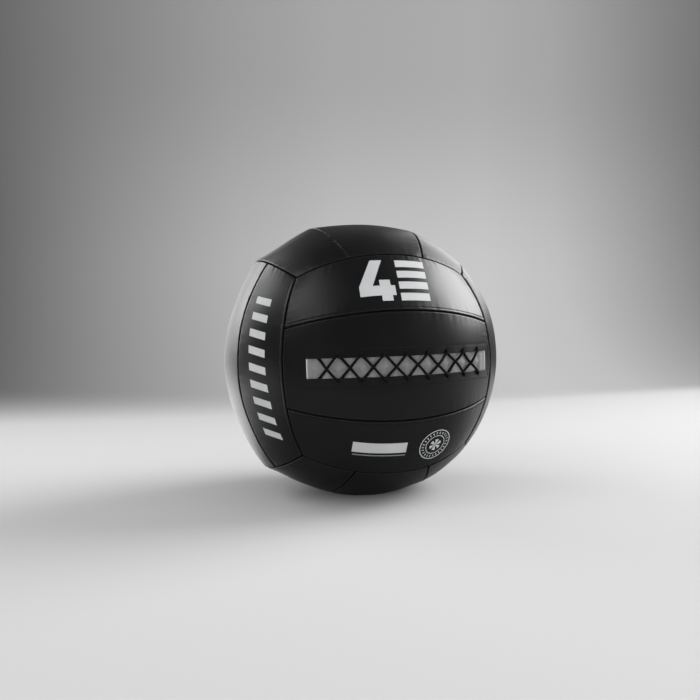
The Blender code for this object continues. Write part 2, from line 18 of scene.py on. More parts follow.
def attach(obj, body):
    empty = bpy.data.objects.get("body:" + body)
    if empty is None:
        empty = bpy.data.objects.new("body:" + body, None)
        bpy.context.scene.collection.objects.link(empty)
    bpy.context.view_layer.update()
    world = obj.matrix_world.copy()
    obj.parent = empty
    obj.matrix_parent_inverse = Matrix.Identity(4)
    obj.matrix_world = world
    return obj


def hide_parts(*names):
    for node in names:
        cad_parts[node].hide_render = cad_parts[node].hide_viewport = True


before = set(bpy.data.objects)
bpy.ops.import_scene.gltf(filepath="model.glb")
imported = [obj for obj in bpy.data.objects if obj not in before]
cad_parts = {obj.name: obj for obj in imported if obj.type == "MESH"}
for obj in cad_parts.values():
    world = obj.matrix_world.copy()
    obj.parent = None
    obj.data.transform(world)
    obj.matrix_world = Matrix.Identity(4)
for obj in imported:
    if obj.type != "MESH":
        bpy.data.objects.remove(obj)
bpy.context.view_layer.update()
BODY = "root"

# %% [markdown]
# ## The outside of the ball
# The ball is a sphere of 178 mm that stands a little higher along its seams, because the panels are
# drawn together there. It could be sculpted or inflated by a simulation, but the seams of such a ball
# lie on planes through its middle, so one formula of direction gives the distance to the skin. All
# seams stand proud alike, but for two places: the corner at the upper left sticks out like an ear, and
# at the lower right the filling has settled and rounds the seams out. A third place, a soft heel at the
# lower left, is small enough to come with the height of the panels further down.

# %% Sizes of the ball, in metres
BALL_RADIUS = 0.178
BASE_SINK = 0.007
CENTRE = np.array([0.0, 0.0, BALL_RADIUS - BASE_SINK])
CENTRE_HEIGHT = CENTRE[2]
FACE_HALF_ANGLE = math.pi / 4
SEAM_ANGLE = math.atan(0.365)

STRIP_RIDGE = 0.0055
EDGE_RIDGE = 0.0070
CORNER_RIDGE = 0.0030
OUTER_STRIP_RISE_SHARE = 0.56
CALM_START_SHARE, CALM_END_SHARE = 0.80, 0.95
PROUD_SHARE, PROUD_LEAST_SHARE, PROUD_EASE_SHARE = 0.67, 0.03, 0.20
EAR_TURN, EAR_LIFT, EAR_SPREAD = map(math.radians, (161.5, 48.0, 19.9))
EAR_SHARE = 0.99
ROUND_TURN, ROUND_LIFT, ROUND_SPREAD = map(math.radians, (-4.0, -26.0, 18.8))
ROUND_SHARE = 1.64
print("ball:", round(BALL_RADIUS * 2000), "mm across, its middle", round(CENTRE_HEIGHT * 1000), "mm up")

# %% [markdown]
# ## Six faces of three strips
# Like a classic ball of eighteen panels, each face of an imagined cube carries three strips, and the
# strips of neighbouring faces run at right angles. A face is kept as three axes: the way it looks, the
# way its strips run, and the way across them.

# %% Faces and strips
FACES = {
    "front": ((0, -1, 0), (1, 0, 0), (0, 0, 1)),
    "back": ((0, 1, 0), (-1, 0, 0), (0, 0, 1)),
    "left": ((-1, 0, 0), (0, 0, 1), (0, 1, 0)),
    "right": ((1, 0, 0), (0, 0, 1), (0, -1, 0)),
    "top": ((0, 0, 1), (0, 1, 0), (-1, 0, 0)),
    "bottom": ((0, 0, -1), (0, 1, 0), (1, 0, 0)),
}
STRIP_NAMES = {
    "front": ("lower", "middle", "upper"),
    "back": ("lower", "middle", "upper"),
    "left": ("front", "middle", "back"),
    "right": ("back", "middle", "front"),
    "top": ("right", "middle", "left"),
    "bottom": ("left", "middle", "right"),
}
STRIP_BOUNDS = (-FACE_HALF_ANGLE, -SEAM_ANGLE, SEAM_ANGLE, FACE_HALF_ANGLE)
LOOKS, RUNS, ACROSS = (np.array([face[k] for face in FACES.values()], float) for k in range(3))
print("strips:", sum(len(names) for names in STRIP_NAMES.values()))

# %% [markdown]
# ## Directions and angles
# A point of the skin is a direction from the ball's middle. On a face it can also be given by two
# angles, one along the strips and one across them, and these helpers turn one into the other. They
# take whole arrays, so a panel with thousands of points is worked out in one go.

# %% Between directions and angles
def unit(vectors):
    """Each vector over its own length."""
    vectors = np.asarray(vectors, float)
    return vectors / np.linalg.norm(vectors, axis=-1, keepdims=True)


def smooth_share(value, start, end):
    """Goes from 0 at the start to 1 at the end along three t squared less two t cubed."""
    share = np.clip((value - start) / (end - start), 0.0, 1.0)
    return share * share * (3 - 2 * share)


def face_axes(face):
    """The way a face looks, the way its strips run and the way across them."""
    return (np.array(axis, float) for axis in FACES[face])


def face_directions(face, along, across):
    """Direction = the face's look, plus the tangents of the two angles times its other two axes."""
    look, run, side = face_axes(face)
    return unit(look + np.tan(along)[..., None] * run + np.tan(across)[..., None] * side)


def face_angles(directions):
    """Angle along and angle across the strips of the face that each direction points through."""
    towards = directions @ LOOKS.T
    face = towards.argmax(axis=-1)
    depth = np.take_along_axis(towards, face[..., None], -1)[..., 0]
    along = (directions * RUNS[face]).sum(-1)
    across = (directions * ACROSS[face]).sum(-1)
    return np.arctan2(along, depth), np.arctan2(across, depth)


corner = face_directions("front", np.array([FACE_HALF_ANGLE]), np.array([FACE_HALF_ANGLE]))
print("a corner of the front face lies towards", np.round(corner[0], 3))

# %% [markdown]
# ## How far out the skin lies
# With the angles known, the skin is the radius plus a rise towards the seams. The ear and the rounded
# place are bells round one direction each, which change how proud the seams stand there. The bottom is
# cut level, because the ball's own weight presses it flat on the floor.

# %% The skin's distance from the middle
def near_place(directions, turn, lift, spread):
    """Bell round a place on the ball: e to the power of the cosine of the angle from it, less 1, over
    the spread squared."""
    place = np.array([math.cos(turn) * math.cos(lift), math.sin(turn) * math.cos(lift), math.sin(lift)])
    return np.exp((directions @ place - 1) / spread**2)


def proud_share(directions):
    """An even share plus the ear's bell less the rounded place's bell, eased to a least share."""
    share = PROUD_SHARE + EAR_SHARE * near_place(directions, EAR_TURN, EAR_LIFT, EAR_SPREAD)
    share = share - ROUND_SHARE * near_place(directions, ROUND_TURN, ROUND_LIFT, ROUND_SPREAD)
    over = share - PROUD_LEAST_SHARE
    return PROUD_LEAST_SHARE + (over + np.sqrt(over**2 + PROUD_EASE_SHARE**2)) / 2


def skin_radius(directions):
    """Distance from the middle to the skin.

    Radius of the ball, plus a rise that grows as the square of the angle across a strip and as the
    fourth power of the angle along it, times how proud the seams stand on that side. The bottom is
    cut flat at the floor.
    """
    along, across = face_angles(directions)
    side = np.abs(across)
    end_rise = (np.abs(along) / FACE_HALF_ANGLE) ** 4
    middle_strip = STRIP_RIDGE * (side / SEAM_ANGLE) ** 2
    share = np.clip((side - SEAM_ANGLE) / (FACE_HALF_ANGLE - SEAM_ANGLE), 0.0, 1.0)
    between = STRIP_RIDGE + (EDGE_RIDGE - STRIP_RIDGE) * share
    outer_strip = between * (1 - 4 * share * (1 - share) * (1 - OUTER_STRIP_RISE_SHARE))
    strip = np.where(side < SEAM_ANGLE, middle_strip, outer_strip)
    edge = EDGE_RIDGE + (CORNER_RIDGE - EDGE_RIDGE) * (side / FACE_HALF_ANGLE) ** 4
    rise = strip * (1 - end_rise) + edge * end_rise
    down = -directions[..., 2]
    calm = smooth_share(down, CALM_START_SHARE, CALM_END_SHARE)
    free = BALL_RADIUS + rise * proud_share(directions) * (1 - calm)
    floor = np.where(down > CALM_START_SHARE, CENTRE_HEIGHT / np.maximum(down, CALM_START_SHARE), free)
    return np.minimum(free, floor)


sample = face_directions("left", np.array([0.0, FACE_HALF_ANGLE]), np.array([0.0, 0.0]))
print("radius at the left middle and at its top seam, mm:", np.round(skin_radius(sample) * 1000, 1))

# %% [markdown]
# ## How the leather lies on the foam
# Real panels aren't perfectly smooth. The filling under them is lumpy, so the light wanders over a
# panel in soft waves, and the stitches draw the leather into short puckers along each seam. The waves
# are a few sines of the position, so they run on from one panel to the next. The puckers are ripples
# along the seam that die away within a few millimetres of it.

# %% Waves and puckers
WAVE_HEIGHT = 0.00042
WAVE_TURNS = np.array([[9, 4, -3], [-5, 11, 6], [3, -7, 12], [14, 9, 5], [-8, 5, 17]], float)
WAVE_PHASES = np.array([0.3, 1.9, 4.1, 2.6, 5.2])
WAVE_WEIGHTS = np.array([1.0, 0.9, 0.8, 0.45, 0.4])
PUCKER_HEIGHT = 0.00020
PUCKER_START, PUCKER_REACH = 0.0012, 0.0065
PUCKER_SINES = ((1.0, 0.0016, 1.0), (0.8, 0.0027, 2.3), (0.9, 0.0061, 4.1))
PUCKER_PEAK = 1.6


def waves(directions):
    """Weighed sum of five sines of the direction along slanting axes, each with its own wavelength."""
    ripples = np.sin(directions @ WAVE_TURNS.T + WAVE_PHASES) @ WAVE_WEIGHTS
    return WAVE_HEIGHT * ripples / WAVE_WEIGHTS.sum() * 2


def puckers(place, distance, phase):
    """Ripple along the seam: three sines of the place along it, each with a weight, a wavelength and a
    share of the phase, times a power of the distance that starts at 0 and fades again."""
    ripple = sum(weight * np.sin(place / length + shift * phase) for weight, length, shift in PUCKER_SINES)
    near = np.exp(-distance / PUCKER_REACH)
    return PUCKER_HEIGHT * ripple / PUCKER_PEAK * near * (1 - np.exp(-distance / PUCKER_START))


scattered = unit(np.random.default_rng(1).normal(size=(999, 3)))
print("waves reach", round(float(np.abs(waves(scattered)).max()) * 1e3, 2), "mm")

# %% [markdown]
# ## Panel grids
# Each panel is a grid of points. Close to the four seams the grid lines follow the seams at set
# distances, crowded where the leather rolls over its folded edge, and between them they are even. That
# puts the points where the shape turns quickly and spends few elsewhere. Most seams open alike. A few
# stand wider open or closer together, so their lines lie further out or further in by the same share.

# %% Lines along the seams
WALL = 0.0010
ROLL = 0.0010
ROLL_LINES_MM = [0.0, 0.03, 0.12, 0.28, 0.5, 0.8, 1.15, 1.6, 2.3]
BAND_LINES_MM = [3.1, 3.7, 4.1, 4.5, 5.0, 5.7, 6.8, 8.0]
EDGE_LINES = WALL + np.array(ROLL_LINES_MM + BAND_LINES_MM) * 0.001
WIDE, WIDER, WIDEST, NARROW = 1.2, 1.45, 2.0, 0.6
SEAM_OPENINGS = {
    ("left", 0): (1, 1, 1, WIDER), ("left", 1): (1, 1, WIDER, 1), ("right", 2): (1, 1, 1, WIDEST),
    ("front", 0): (1, WIDEST, 1, 1), ("front", 1): (1, WIDEST, 1, 1), ("front", 2): (1, WIDEST, 1, 1),
    ("top", 0): (1, 1, 1, WIDE), ("top", 1): (1, 1, WIDE, NARROW), ("top", 2): (1, 1, NARROW, 1),
}


def seam_openings(face, strip):
    """How wide the seams at the start, end, low and high side of a panel open, as a share of the usual."""
    return np.array(SEAM_OPENINGS.get((face, strip), (1, 1, 1, 1)), float)


def width_left(angle, flat):
    """Share of the radius that counts for a distance from a seam's plane: the root of a square over
    itself plus flat squared. The square is 1 + the seam angle's tangent squared, and flat is the
    tangent of the other angle."""
    square = 1 + math.tan(angle) ** 2
    return np.sqrt(square / (square + flat**2))


def line_angles(start, end, count, other, openings):
    """Angles of the grid lines from one seam to the other, for each angle across them.

    The outer lines lie at the set distances from their seam: the angle past the seam is the arcsine of
    the distance over the radius and over the width left by the other angle. The rest are even.
    """
    middle = np.linspace(0, 1, count)[:, None]
    flat = np.tan(other)[None, :]

    def inset(angle, sign, opening):
        distance = opening * EDGE_LINES[:, None]
        return angle + sign * np.arcsin(distance / (BALL_RADIUS * width_left(angle, flat)))

    first, last = inset(start, 1, openings[0]), inset(end, -1, openings[1])[::-1]
    between = first[-1:] + (last[:1] - first[-1:]) * middle
    return np.concatenate([first, between[1:-1], last])


print("lines beside each seam:", len(EDGE_LINES), "to", round(EDGE_LINES[-1] * 1e3, 1), "mm from it")

# %% [markdown]
# The columns of a panel run across its strip and its rows run along it. Both kinds bend with the seams,
# so the whole grid is worked out from the angles of its border.

# %% The grid of one panel
FINE_STEP = 0.0016
SPARED_LINES = 8


def step_count(start, end):
    """Even lines between two seams, fewer by those whose room the seams' own lines take."""
    return int(round((end - start) * BALL_RADIUS / FINE_STEP)) - SPARED_LINES


def panel_grid(face, strip):
    """Directions of one panel's grid, whose lines are set by the distances from its four seams."""
    low, high = STRIP_BOUNDS[strip:strip + 2]
    columns = step_count(-FACE_HALF_ANGLE, FACE_HALF_ANGLE)
    rows = step_count(low, high)
    along = np.linspace(-FACE_HALF_ANGLE, FACE_HALF_ANGLE, len(EDGE_LINES) * 2 + columns - 2)
    across = np.linspace(low, high, len(EDGE_LINES) * 2 + rows - 2)
    openings = seam_openings(face, strip)
    lines = line_angles(-FACE_HALF_ANGLE, FACE_HALF_ANGLE, columns, across, openings[:2])
    rows_at = line_angles(low, high, rows, along, openings[2:]).T
    return face_directions(face, lines, rows_at)


grid = panel_grid("front", 2)
print("points on an outer panel:", grid.shape[:2])

# %% [markdown]
# ## Rolled edges and felled bands
# At a seam both panels are folded inwards, so each shows a rolled edge with a dark groove between. On
# some seams the seam allowance is also stitched down flat, which raises a narrow band beside the seam
# and leaves a row of stitches in a shallow furrow along it. These felled seams are those of the outer
# panels in front and at the back, towards the middle one, and those along the upright edges of the side
# faces. All of this depends only on the distance to the nearest seams.

# %% Distances, rolls and bands
STITCH_LINE = 0.0043
BAND_HEIGHT = 0.00030
BAND_INSIDE, BAND_OUTSIDE = 0.0006, 0.0016
FURROW_DEPTH = 0.00055
FURROW_HALF = 0.0006


def seam_distances(directions, face, strip):
    """Distance to the four seams: radius times the arcsine of the direction along each seam's normal."""
    look, run, side = face_axes(face)
    normals = [math.cos(a) * run - math.sin(a) * look for a in (-FACE_HALF_ANGLE, FACE_HALF_ANGLE)]
    normals += [math.cos(a) * side - math.sin(a) * look for a in STRIP_BOUNDS[strip:strip + 2]]
    signs = np.array([1, -1, 1, -1])
    return BALL_RADIUS * np.arcsin(directions @ np.array(normals).T * signs)


def quarter_circle(share):
    """Rises from 0 to 1 as a quarter circle does: the root of 1 less (1 - share) squared."""
    return np.sqrt(np.maximum(1 - (1 - share) ** 2, 0.0))


def edge_roll(distance):
    """Quarter circle from the wall of the seam up to the skin, 0 at the wall and 1 past the roll."""
    return quarter_circle(np.clip((distance - WALL) / ROLL, 0.0, 1.0))


def felled(face, strip):
    """Which of the four seams of a panel are felled: front and back panels towards their middle strip,
    left and right panels along their upright outer edges."""
    if face in ("front", "back"):
        return [False, False, strip == 2, strip == 0]
    if face in ("left", "right"):
        return [False, False, strip == 0, strip == 2]
    return [False] * 4


def band(distance):
    """A flat band from the seam to the stitch line, with a furrow of a bell shape at the line."""
    raised = BAND_HEIGHT * (1 - smooth_share(distance, STITCH_LINE - BAND_INSIDE, STITCH_LINE + BAND_OUTSIDE))
    return raised - FURROW_DEPTH * np.exp(-((distance - STITCH_LINE) / FURROW_HALF) ** 2)


print("felled seams:", sum(sum(felled(face, strip)) for face in FACES for strip in range(3)))

# %% [markdown]
# ## The ear's lip and the heel
# Two corners show the soft filling best. At the ear the top panel's edge stands out over the left ones
# like a lip, and at the lower left the leather bulges into a heel. Both are bells on the formula of the
# ball, which fade with the distance past a seam, so they need no sculpting by hand.

# %% Two soft corners
LIP_RISE = 0.0030
LIP_DROP = 0.0012
LIP_REACH = 0.0050
LIP_SPREAD = math.radians(9.0)
HEEL_TURN, HEEL_LIFT, HEEL_SPREAD = map(math.radians, (180.0, -45.0, 12.0))
HEEL_RISE = 0.0042
HEEL_REACH = 0.012


def ear_lip(directions, distances, face, strip):
    """At the ear the edge of the top panel stands out over the left panels, whose ends sink under it.

    Both fade with the distance from the seam, by e to the power of minus it over the reach, and from
    the ear.
    """
    near = near_place(directions, EAR_TURN, EAR_LIFT, LIP_SPREAD)
    if (face, strip) == ("top", 2):
        return LIP_RISE * near * np.exp(-distances[..., 3] / LIP_REACH)
    if face == "left":
        return -LIP_DROP * near * np.exp(-distances[..., 1] / LIP_REACH)
    return np.zeros(near.shape)


def heel_rise(directions):
    """A bell round the middle of the seam between the left and bottom faces, where the filling has
    sunk into the corner. Past the seam it fades by e to the power of minus the distance over the reach."""
    near = near_place(directions, HEEL_TURN, HEEL_LIFT, HEEL_SPREAD)
    past = BALL_RADIUS * np.maximum((directions[..., 0] - directions[..., 2]) / math.sqrt(2), 0.0)
    return HEEL_RISE * near * np.exp(-past / HEEL_REACH)


heel_place = unit(np.array([[-1.0, 0.0, -1.0]]))
print("the heel rises", round(float(heel_rise(heel_place)[0]) * 1e3, 1), "mm at its seam")

# %% [markdown]
# ## The height of a panel
# Everything that lies on the ball's formula now adds up to one height over it. The rolls of the four
# seams multiply it, so that it goes down into every groove, and a seam that opens wider also goes
# deeper. Each seam's puckers start at a phase of their own, so no two seams pucker alike.

# %% All heights together
PANEL_PHASE, SEAM_PHASE = 1.7, 0.9
BAND_END = 0.004


def panel_height(directions, face, strip):
    """Waves, puckers and felled bands together, rolled down by the product of the edge rolls, and the
    heel. A seam that opens wider is also deeper by the same share."""
    along, across = face_angles(directions)
    distances = seam_distances(directions, face, strip)
    height = waves(directions) + ear_lip(directions, distances, face, strip)
    seed = list(FACES).index(face) * 3 + strip
    for k, stitched in enumerate(felled(face, strip)):
        place = (across if k < 2 else along) * BALL_RADIUS
        height = height + puckers(place, distances[..., k], PANEL_PHASE * seed + SEAM_PHASE * k)
        if stitched:
            ends = np.minimum(distances[..., (k + 2) % 4], distances[..., (k + 3) % 4])
            height = height + band(distances[..., k]) * smooth_share(ends, 0.0, BAND_END)
    openings = seam_openings(face, strip)
    rolls = edge_roll(distances / openings)
    roll = rolls.prod(axis=-1)
    depth = ROLL * (1 + ((openings - 1) * (1 - rolls)).sum(axis=-1))
    return height * roll - depth * (1 - roll) + heel_rise(directions)


heights = panel_height(grid, "front", 2)
print("height of the front upper panel, mm:", np.round([heights.min() * 1e3, heights.max() * 1e3], 2))

# %% [markdown]
# ## From grids to closed meshes
# A panel is a closed shell: the grid outside, the same grid at the back of the foam, and a wall
# between their borders. Where the panel has an opening, the grid simply has no faces there and the
# hole gets a wall of its own. The faces are made as whole index arrays.

# %% Faces of grids and shells
def grid_faces(columns, rows, keep=None, flip=False):
    """Four corners of every grid cell, as index arrays, without the cells that aren't kept."""
    index = np.arange(columns * rows).reshape(columns, rows)
    faces = np.stack([index[:-1, :-1], index[1:, :-1], index[1:, 1:], index[:-1, 1:]], axis=-1)
    faces = faces[keep] if keep is not None else faces.reshape(-1, 4)
    return faces[:, ::-1] if flip else faces


def rectangle(columns, rows, box=None):
    """Indices round a rectangle of the grid, anticlockwise seen from outside."""
    i0, j0, i1, j1 = box or (0, 0, columns - 1, rows - 1)
    index = np.arange(columns * rows).reshape(columns, rows)
    return np.concatenate([index[i0:i1, j0], index[i1, j0:j1], index[i1:i0:-1, j1], index[i0, j1:j0:-1]])


def walls(upper, lower):
    """Quads between two closed loops of indices."""
    return np.stack([upper, lower, np.roll(lower, -1), np.roll(upper, -1)], axis=1)


def shell_faces(columns, rows):
    """Faces of a closed shell: a grid, the same grid behind it turned round, and one wall between."""
    count = columns * rows
    border = rectangle(columns, rows)
    return np.concatenate([grid_faces(columns, rows), grid_faces(columns, rows, flip=True) + count,
                           walls(border, border + count)])


print("faces of a shell of 4 by 3 points:", len(shell_faces(4, 3)))

# %% [markdown]
# Blender takes a mesh fastest as flat arrays, through foreach_set. Each piece also carries numbers at
# its points, such as how worn they are, or a UV map for its weave, which its material reads later.

# %% Mesh helpers
SHARP_ANGLE = math.radians(50)


def place_object(name, data):
    """A new object of the scene that shows a mesh, a lamp or a camera."""
    made = bpy.data.objects.new(name, data)
    bpy.context.scene.collection.objects.link(made)
    return made


def mesh_object(name, points, faces, finish=None):
    """A mesh from arrays of points and quads, without the points that no face uses."""
    used, faces = np.unique(faces, return_inverse=True)
    faces = faces.reshape(-1, 4)
    points = points[used]
    mesh = bpy.data.meshes.new(name)
    mesh.vertices.add(len(points))
    mesh.vertices.foreach_set("co", points.astype(np.float32).ravel())
    mesh.loops.add(faces.size)
    mesh.loops.foreach_set("vertex_index", faces.ravel().astype(np.int32))
    mesh.polygons.add(len(faces))
    mesh.polygons.foreach_set("loop_start", np.arange(0, faces.size, 4, dtype=np.int32))
    mesh.update(calc_edges=True)
    mesh.validate()
    mesh.shade_smooth()
    if finish is not None:
        mesh.materials.append(finish)
    return place_object(name, mesh), used


def face_outwards(mesh, caps=()):
    """Closes each cap, a ring of point numbers, with one face, and turns every face outwards."""
    shape = bmesh.new()
    shape.from_mesh(mesh)
    shape.verts.ensure_lookup_table()
    for cap in caps:
        shape.faces.new([shape.verts[i] for i in cap])
    bmesh.ops.recalc_face_normals(shape, faces=shape.faces)
    shape.to_mesh(mesh)
    shape.free()


def triangles(item):
    return sum(len(face.vertices) - 2 for face in item.data.polygons)


def add_attribute(item, name, values):
    """A number at each point of a piece, which its material can read."""
    layer = item.data.attributes.new(name, "FLOAT", "POINT")
    layer.data.foreach_set("value", np.asarray(values, np.float32).ravel())


def add_uv(item, values, used):
    """UV of each corner from the values of its point."""
    layer = item.data.uv_layers.new(name="UVMap")
    corners = np.empty(len(item.data.loops), np.int32)
    item.data.loops.foreach_get("vertex_index", corners)
    layer.data.foreach_set("uv", values[used][corners].astype(np.float32).ravel())


print("mesh helpers ready, edges over", round(math.degrees(SHARP_ANGLE)), "degrees stay sharp")

# %% [markdown]
# ## Tools for shader nodes
# Leather, cloth and cord each need detail smaller than the mesh can carry, so their materials work it
# out from coordinates. Nodes could be placed by hand in the editor. Written as code, the same few
# helpers make any of them: a node with its values, a sum, a product, a mix and a ramp of colours.

# %% Small tools for shader nodes
def node_of(tree, kind, **values):
    """A node of a kind, with its inputs or its own settings by name."""
    made = tree.nodes.new(kind)
    for name, value in values.items():
        if name in made.inputs:
            made.inputs[name].default_value = value
        else:
            setattr(made, name, value)
    return made


def maths(tree, operation, *values, clamp=False):
    """Math node over numbers or sockets."""
    made = node_of(tree, "ShaderNodeMath", operation=operation, use_clamp=clamp)
    for place, value in enumerate(values):
        if isinstance(value, (int, float)):
            made.inputs[place].default_value = value
        else:
            tree.links.new(value, made.inputs[place])
    return made.outputs[0]


def folded(tree, operation, values):
    """The first value and the next through one node, that and the next through another, and so on."""
    made = values[0]
    for value in values[1:]:
        made = maths(tree, operation, made, value)
    return made


def times(tree, *values):
    return folded(tree, "MULTIPLY", values)


def plus(tree, *values):
    return folded(tree, "ADD", values)


def mixed(tree, share, first, second):
    """Mix node: the first colour where the share is 0, the second where it is 1."""
    made = node_of(tree, "ShaderNodeMix", data_type="RGBA")
    tree.links.new(share, made.inputs["Factor"])
    for name, value in (("A", first), ("B", second)):
        if isinstance(value, tuple):
            made.inputs[name].default_value = (*value, 1.0)
        else:
            tree.links.new(value, made.inputs[name])
    return made.outputs["Result"]


def ramp(tree, value, stops):
    """Colour ramp over a value, from pairs of a place and a colour."""
    made = tree.nodes.new("ShaderNodeValToRGB")
    tree.links.new(value, made.inputs[0])
    for place, (at, colour) in enumerate(stops):
        stop = made.color_ramp.elements[place] if place < 2 else made.color_ramp.elements.new(at)
        stop.position = at
        stop.color = (*colour, 1.0)
    return made.outputs["Color"]


def texture(tree, kind, vector, **values):
    """A texture node that reads the given coordinates."""
    made = node_of(tree, "ShaderNodeTex" + kind, **values)
    tree.links.new(vector, made.inputs["Vector"])
    return made


def group_tree(name, inputs, outputs):
    """A shader group that reads a vector and numbers by name, and puts out numbers by name."""
    tree = bpy.data.node_groups.new(name, "ShaderNodeTree")
    tree.interface.new_socket(name="Vector", in_out="INPUT", socket_type="NodeSocketVector")
    for label, value in inputs.items():
        made = tree.interface.new_socket(name=label, in_out="INPUT", socket_type="NodeSocketFloat")
        made.default_value = value
    for label in outputs:
        tree.interface.new_socket(name=label, in_out="OUTPUT", socket_type="NodeSocketFloat")
    return tree, tree.nodes.new("NodeGroupInput").outputs, tree.nodes.new("NodeGroupOutput").inputs


print("shader tools ready")

# %% [markdown]
# ## The leather grain
# The face of synthetic leather is embossed: small plateaus with creases between them, pits, and a few
# long faint folds. A cellular pattern gives the plateaus and noise the rest. It is a group, because the
# bare leather and the print that lies on it share it with values of their own.

# %% The leather grain group
GRAIN_SCALE = 850.0
PLATEAU_STEEPNESS, PLATEAU_SHARE = 3.5, 0.6
PIT_SCALE, PIT_SHARE = 2.2, 0.35
FOLD_SCALE, FOLD_STEEPNESS = 38.0, 9.0
MOTTLE_SCALE = 14.0


def leather_grain():
    """Height = distance to the nearest cell edge, small pits of noise, and long faint creases. Mottle =
    soft blotches of noise."""
    tree, given, out = group_tree("leather_grain", {"Scale": 900.0, "Crease": 0.35}, ["Height", "Mottle"])
    vector = given["Vector"]
    cells = texture(tree, "Voronoi", vector, feature="DISTANCE_TO_EDGE")
    tree.links.new(given["Scale"], cells.inputs["Scale"])
    plateau = maths(tree, "MULTIPLY", cells.outputs["Distance"], PLATEAU_STEEPNESS, clamp=True)
    pits = texture(tree, "Noise", vector, Detail=3.0, Roughness=0.6)
    tree.links.new(times(tree, given["Scale"], PIT_SCALE), pits.inputs["Scale"])
    crease = texture(tree, "Noise", vector, Scale=FOLD_SCALE, Detail=5.0, Roughness=0.55)
    fold = maths(tree, "ABSOLUTE", maths(tree, "SUBTRACT", crease.outputs["Fac"], 0.5))
    fold = times(tree, maths(tree, "MULTIPLY", fold, FOLD_STEEPNESS, clamp=True), given["Crease"])
    pitted = times(tree, pits.outputs["Fac"], PIT_SHARE)
    tree.links.new(plus(tree, times(tree, plateau, PLATEAU_SHARE), pitted, fold), out["Height"])
    mottle = texture(tree, "Noise", vector, Scale=MOTTLE_SCALE, Detail=4.0, Roughness=0.6)
    tree.links.new(mottle.outputs["Fac"], out["Mottle"])
    return tree


GRAIN = leather_grain()
print("group:", GRAIN.name)

# %% [markdown]
# ## The weave
# The tongue, its hems, the lining and the sack are plain woven cloth. Their threads are far too fine to
# model, but two crossing rows of them are only products of sines. A second group makes them for every
# cloth here, with as many threads to the metre as each needs.

# %% The weave group
THREAD_DUCK = 0.6
TOP_SHARE, FUZZ_SHARE = 0.35, 0.5
FUZZ_SCALE = 900.0


def woven():
    """Height = the larger of two rows of round threads, each row ducking under the other in turn. Shade
    = that height and fine fuzz."""
    tree, given, out = group_tree("woven_threads", {"Threads": 1200.0}, ["Height", "Shade"])
    split = tree.nodes.new("ShaderNodeSeparateXYZ")
    tree.links.new(given["Vector"], split.inputs[0])
    sines = []
    for axis in (0, 1):
        turn = times(tree, split.outputs[axis], given["Threads"], math.pi)
        sines.append(maths(tree, "SINE", turn))
    duck = times(tree, *sines, THREAD_DUCK)
    warp = plus(tree, maths(tree, "ABSOLUTE", sines[0]), duck)
    weft = maths(tree, "SUBTRACT", maths(tree, "ABSOLUTE", sines[1]), duck)
    top = maths(tree, "MAXIMUM", warp, weft)
    tree.links.new(top, out["Height"])
    fuzz = texture(tree, "Noise", given["Vector"], Scale=FUZZ_SCALE, Detail=3.0)
    shade = plus(tree, times(tree, top, TOP_SHARE), times(tree, fuzz.outputs["Fac"], FUZZ_SHARE))
    tree.links.new(shade, out["Shade"])
    return tree


WEAVE = woven()
print("group:", WEAVE.name)

# %% [markdown]
# ## Materials
# Every material starts from Blender's Principled shader and the piece's own coordinates: Object
# coordinates where the pattern fills space, the UV map where it follows the piece. What a material does
# more than once, such as using a group or a bump, is a helper.

# %% Tools for materials
def new_material(name, coordinates="Object"):
    """A material, its node tree, its shader and the coordinates that its pattern reads."""
    made = bpy.data.materials.new(name)
    made.use_nodes = True
    place = made.node_tree.nodes.new("ShaderNodeTexCoord").outputs[coordinates]
    return made, made.node_tree, made.node_tree.nodes["Principled BSDF"], place


def use_group(tree, group, vector, **values):
    """One use of a group, with its own values."""
    made = node_of(tree, "ShaderNodeGroup", node_tree=group)
    tree.links.new(vector, made.inputs["Vector"])
    for name, value in values.items():
        made.inputs[name].default_value = value
    return made.outputs


def set_colour(tree, shader, value, stops):
    """Base colour by a ramp over a value."""
    tree.links.new(ramp(tree, value, stops), shader.inputs["Base Color"])


def bump(tree, shader, height, distance):
    """Bump of a height map that is the given distance deep, in metres."""
    made = node_of(tree, "ShaderNodeBump", Strength=1.0, Distance=distance)
    tree.links.new(height, made.inputs["Height"])
    tree.links.new(made.outputs["Normal"], shader.inputs["Normal"])


print("material tools ready")

# %% [markdown]
# ## The leather
# The synthetic leather is nearly black and satin, so most of what is seen is the reflection of the
# studio. Its colour and its gloss wander a little, and it is worn slightly paler along the folded
# edges. It could be one flat colour, but then a close view shows plastic instead of leather.

# %% Leather
LEATHER_TONES = [(0.3, (0.0028, 0.0028, 0.0032)), (0.7, (0.0048, 0.0048, 0.0054))]
WORN_TONE = (0.020, 0.020, 0.021)
LEATHER_ROUGHNESS, ROUGHNESS_WANDER = 0.25, 0.12
GRAIN_DEPTH = 0.00006


def panel_leather():
    """Black leather: mottled colour and roughness, paler along the rolled edges, fine grain bump."""
    made, tree, shader, place = new_material("panel_leather")
    grain = use_group(tree, GRAIN, place, Scale=GRAIN_SCALE, Crease=0.25)
    colour = ramp(tree, grain["Mottle"], LEATHER_TONES)
    worn = node_of(tree, "ShaderNodeAttribute", attribute_name="edge_wear")
    tree.links.new(mixed(tree, worn.outputs["Fac"], colour, WORN_TONE), shader.inputs["Base Color"])
    rough = maths(tree, "MULTIPLY_ADD", grain["Mottle"], ROUGHNESS_WANDER, LEATHER_ROUGHNESS)
    tree.links.new(rough, shader.inputs["Roughness"])
    bump(tree, shader, grain["Height"], GRAIN_DEPTH)
    return made


LEATHER = panel_leather()
print("material:", LEATHER.name)

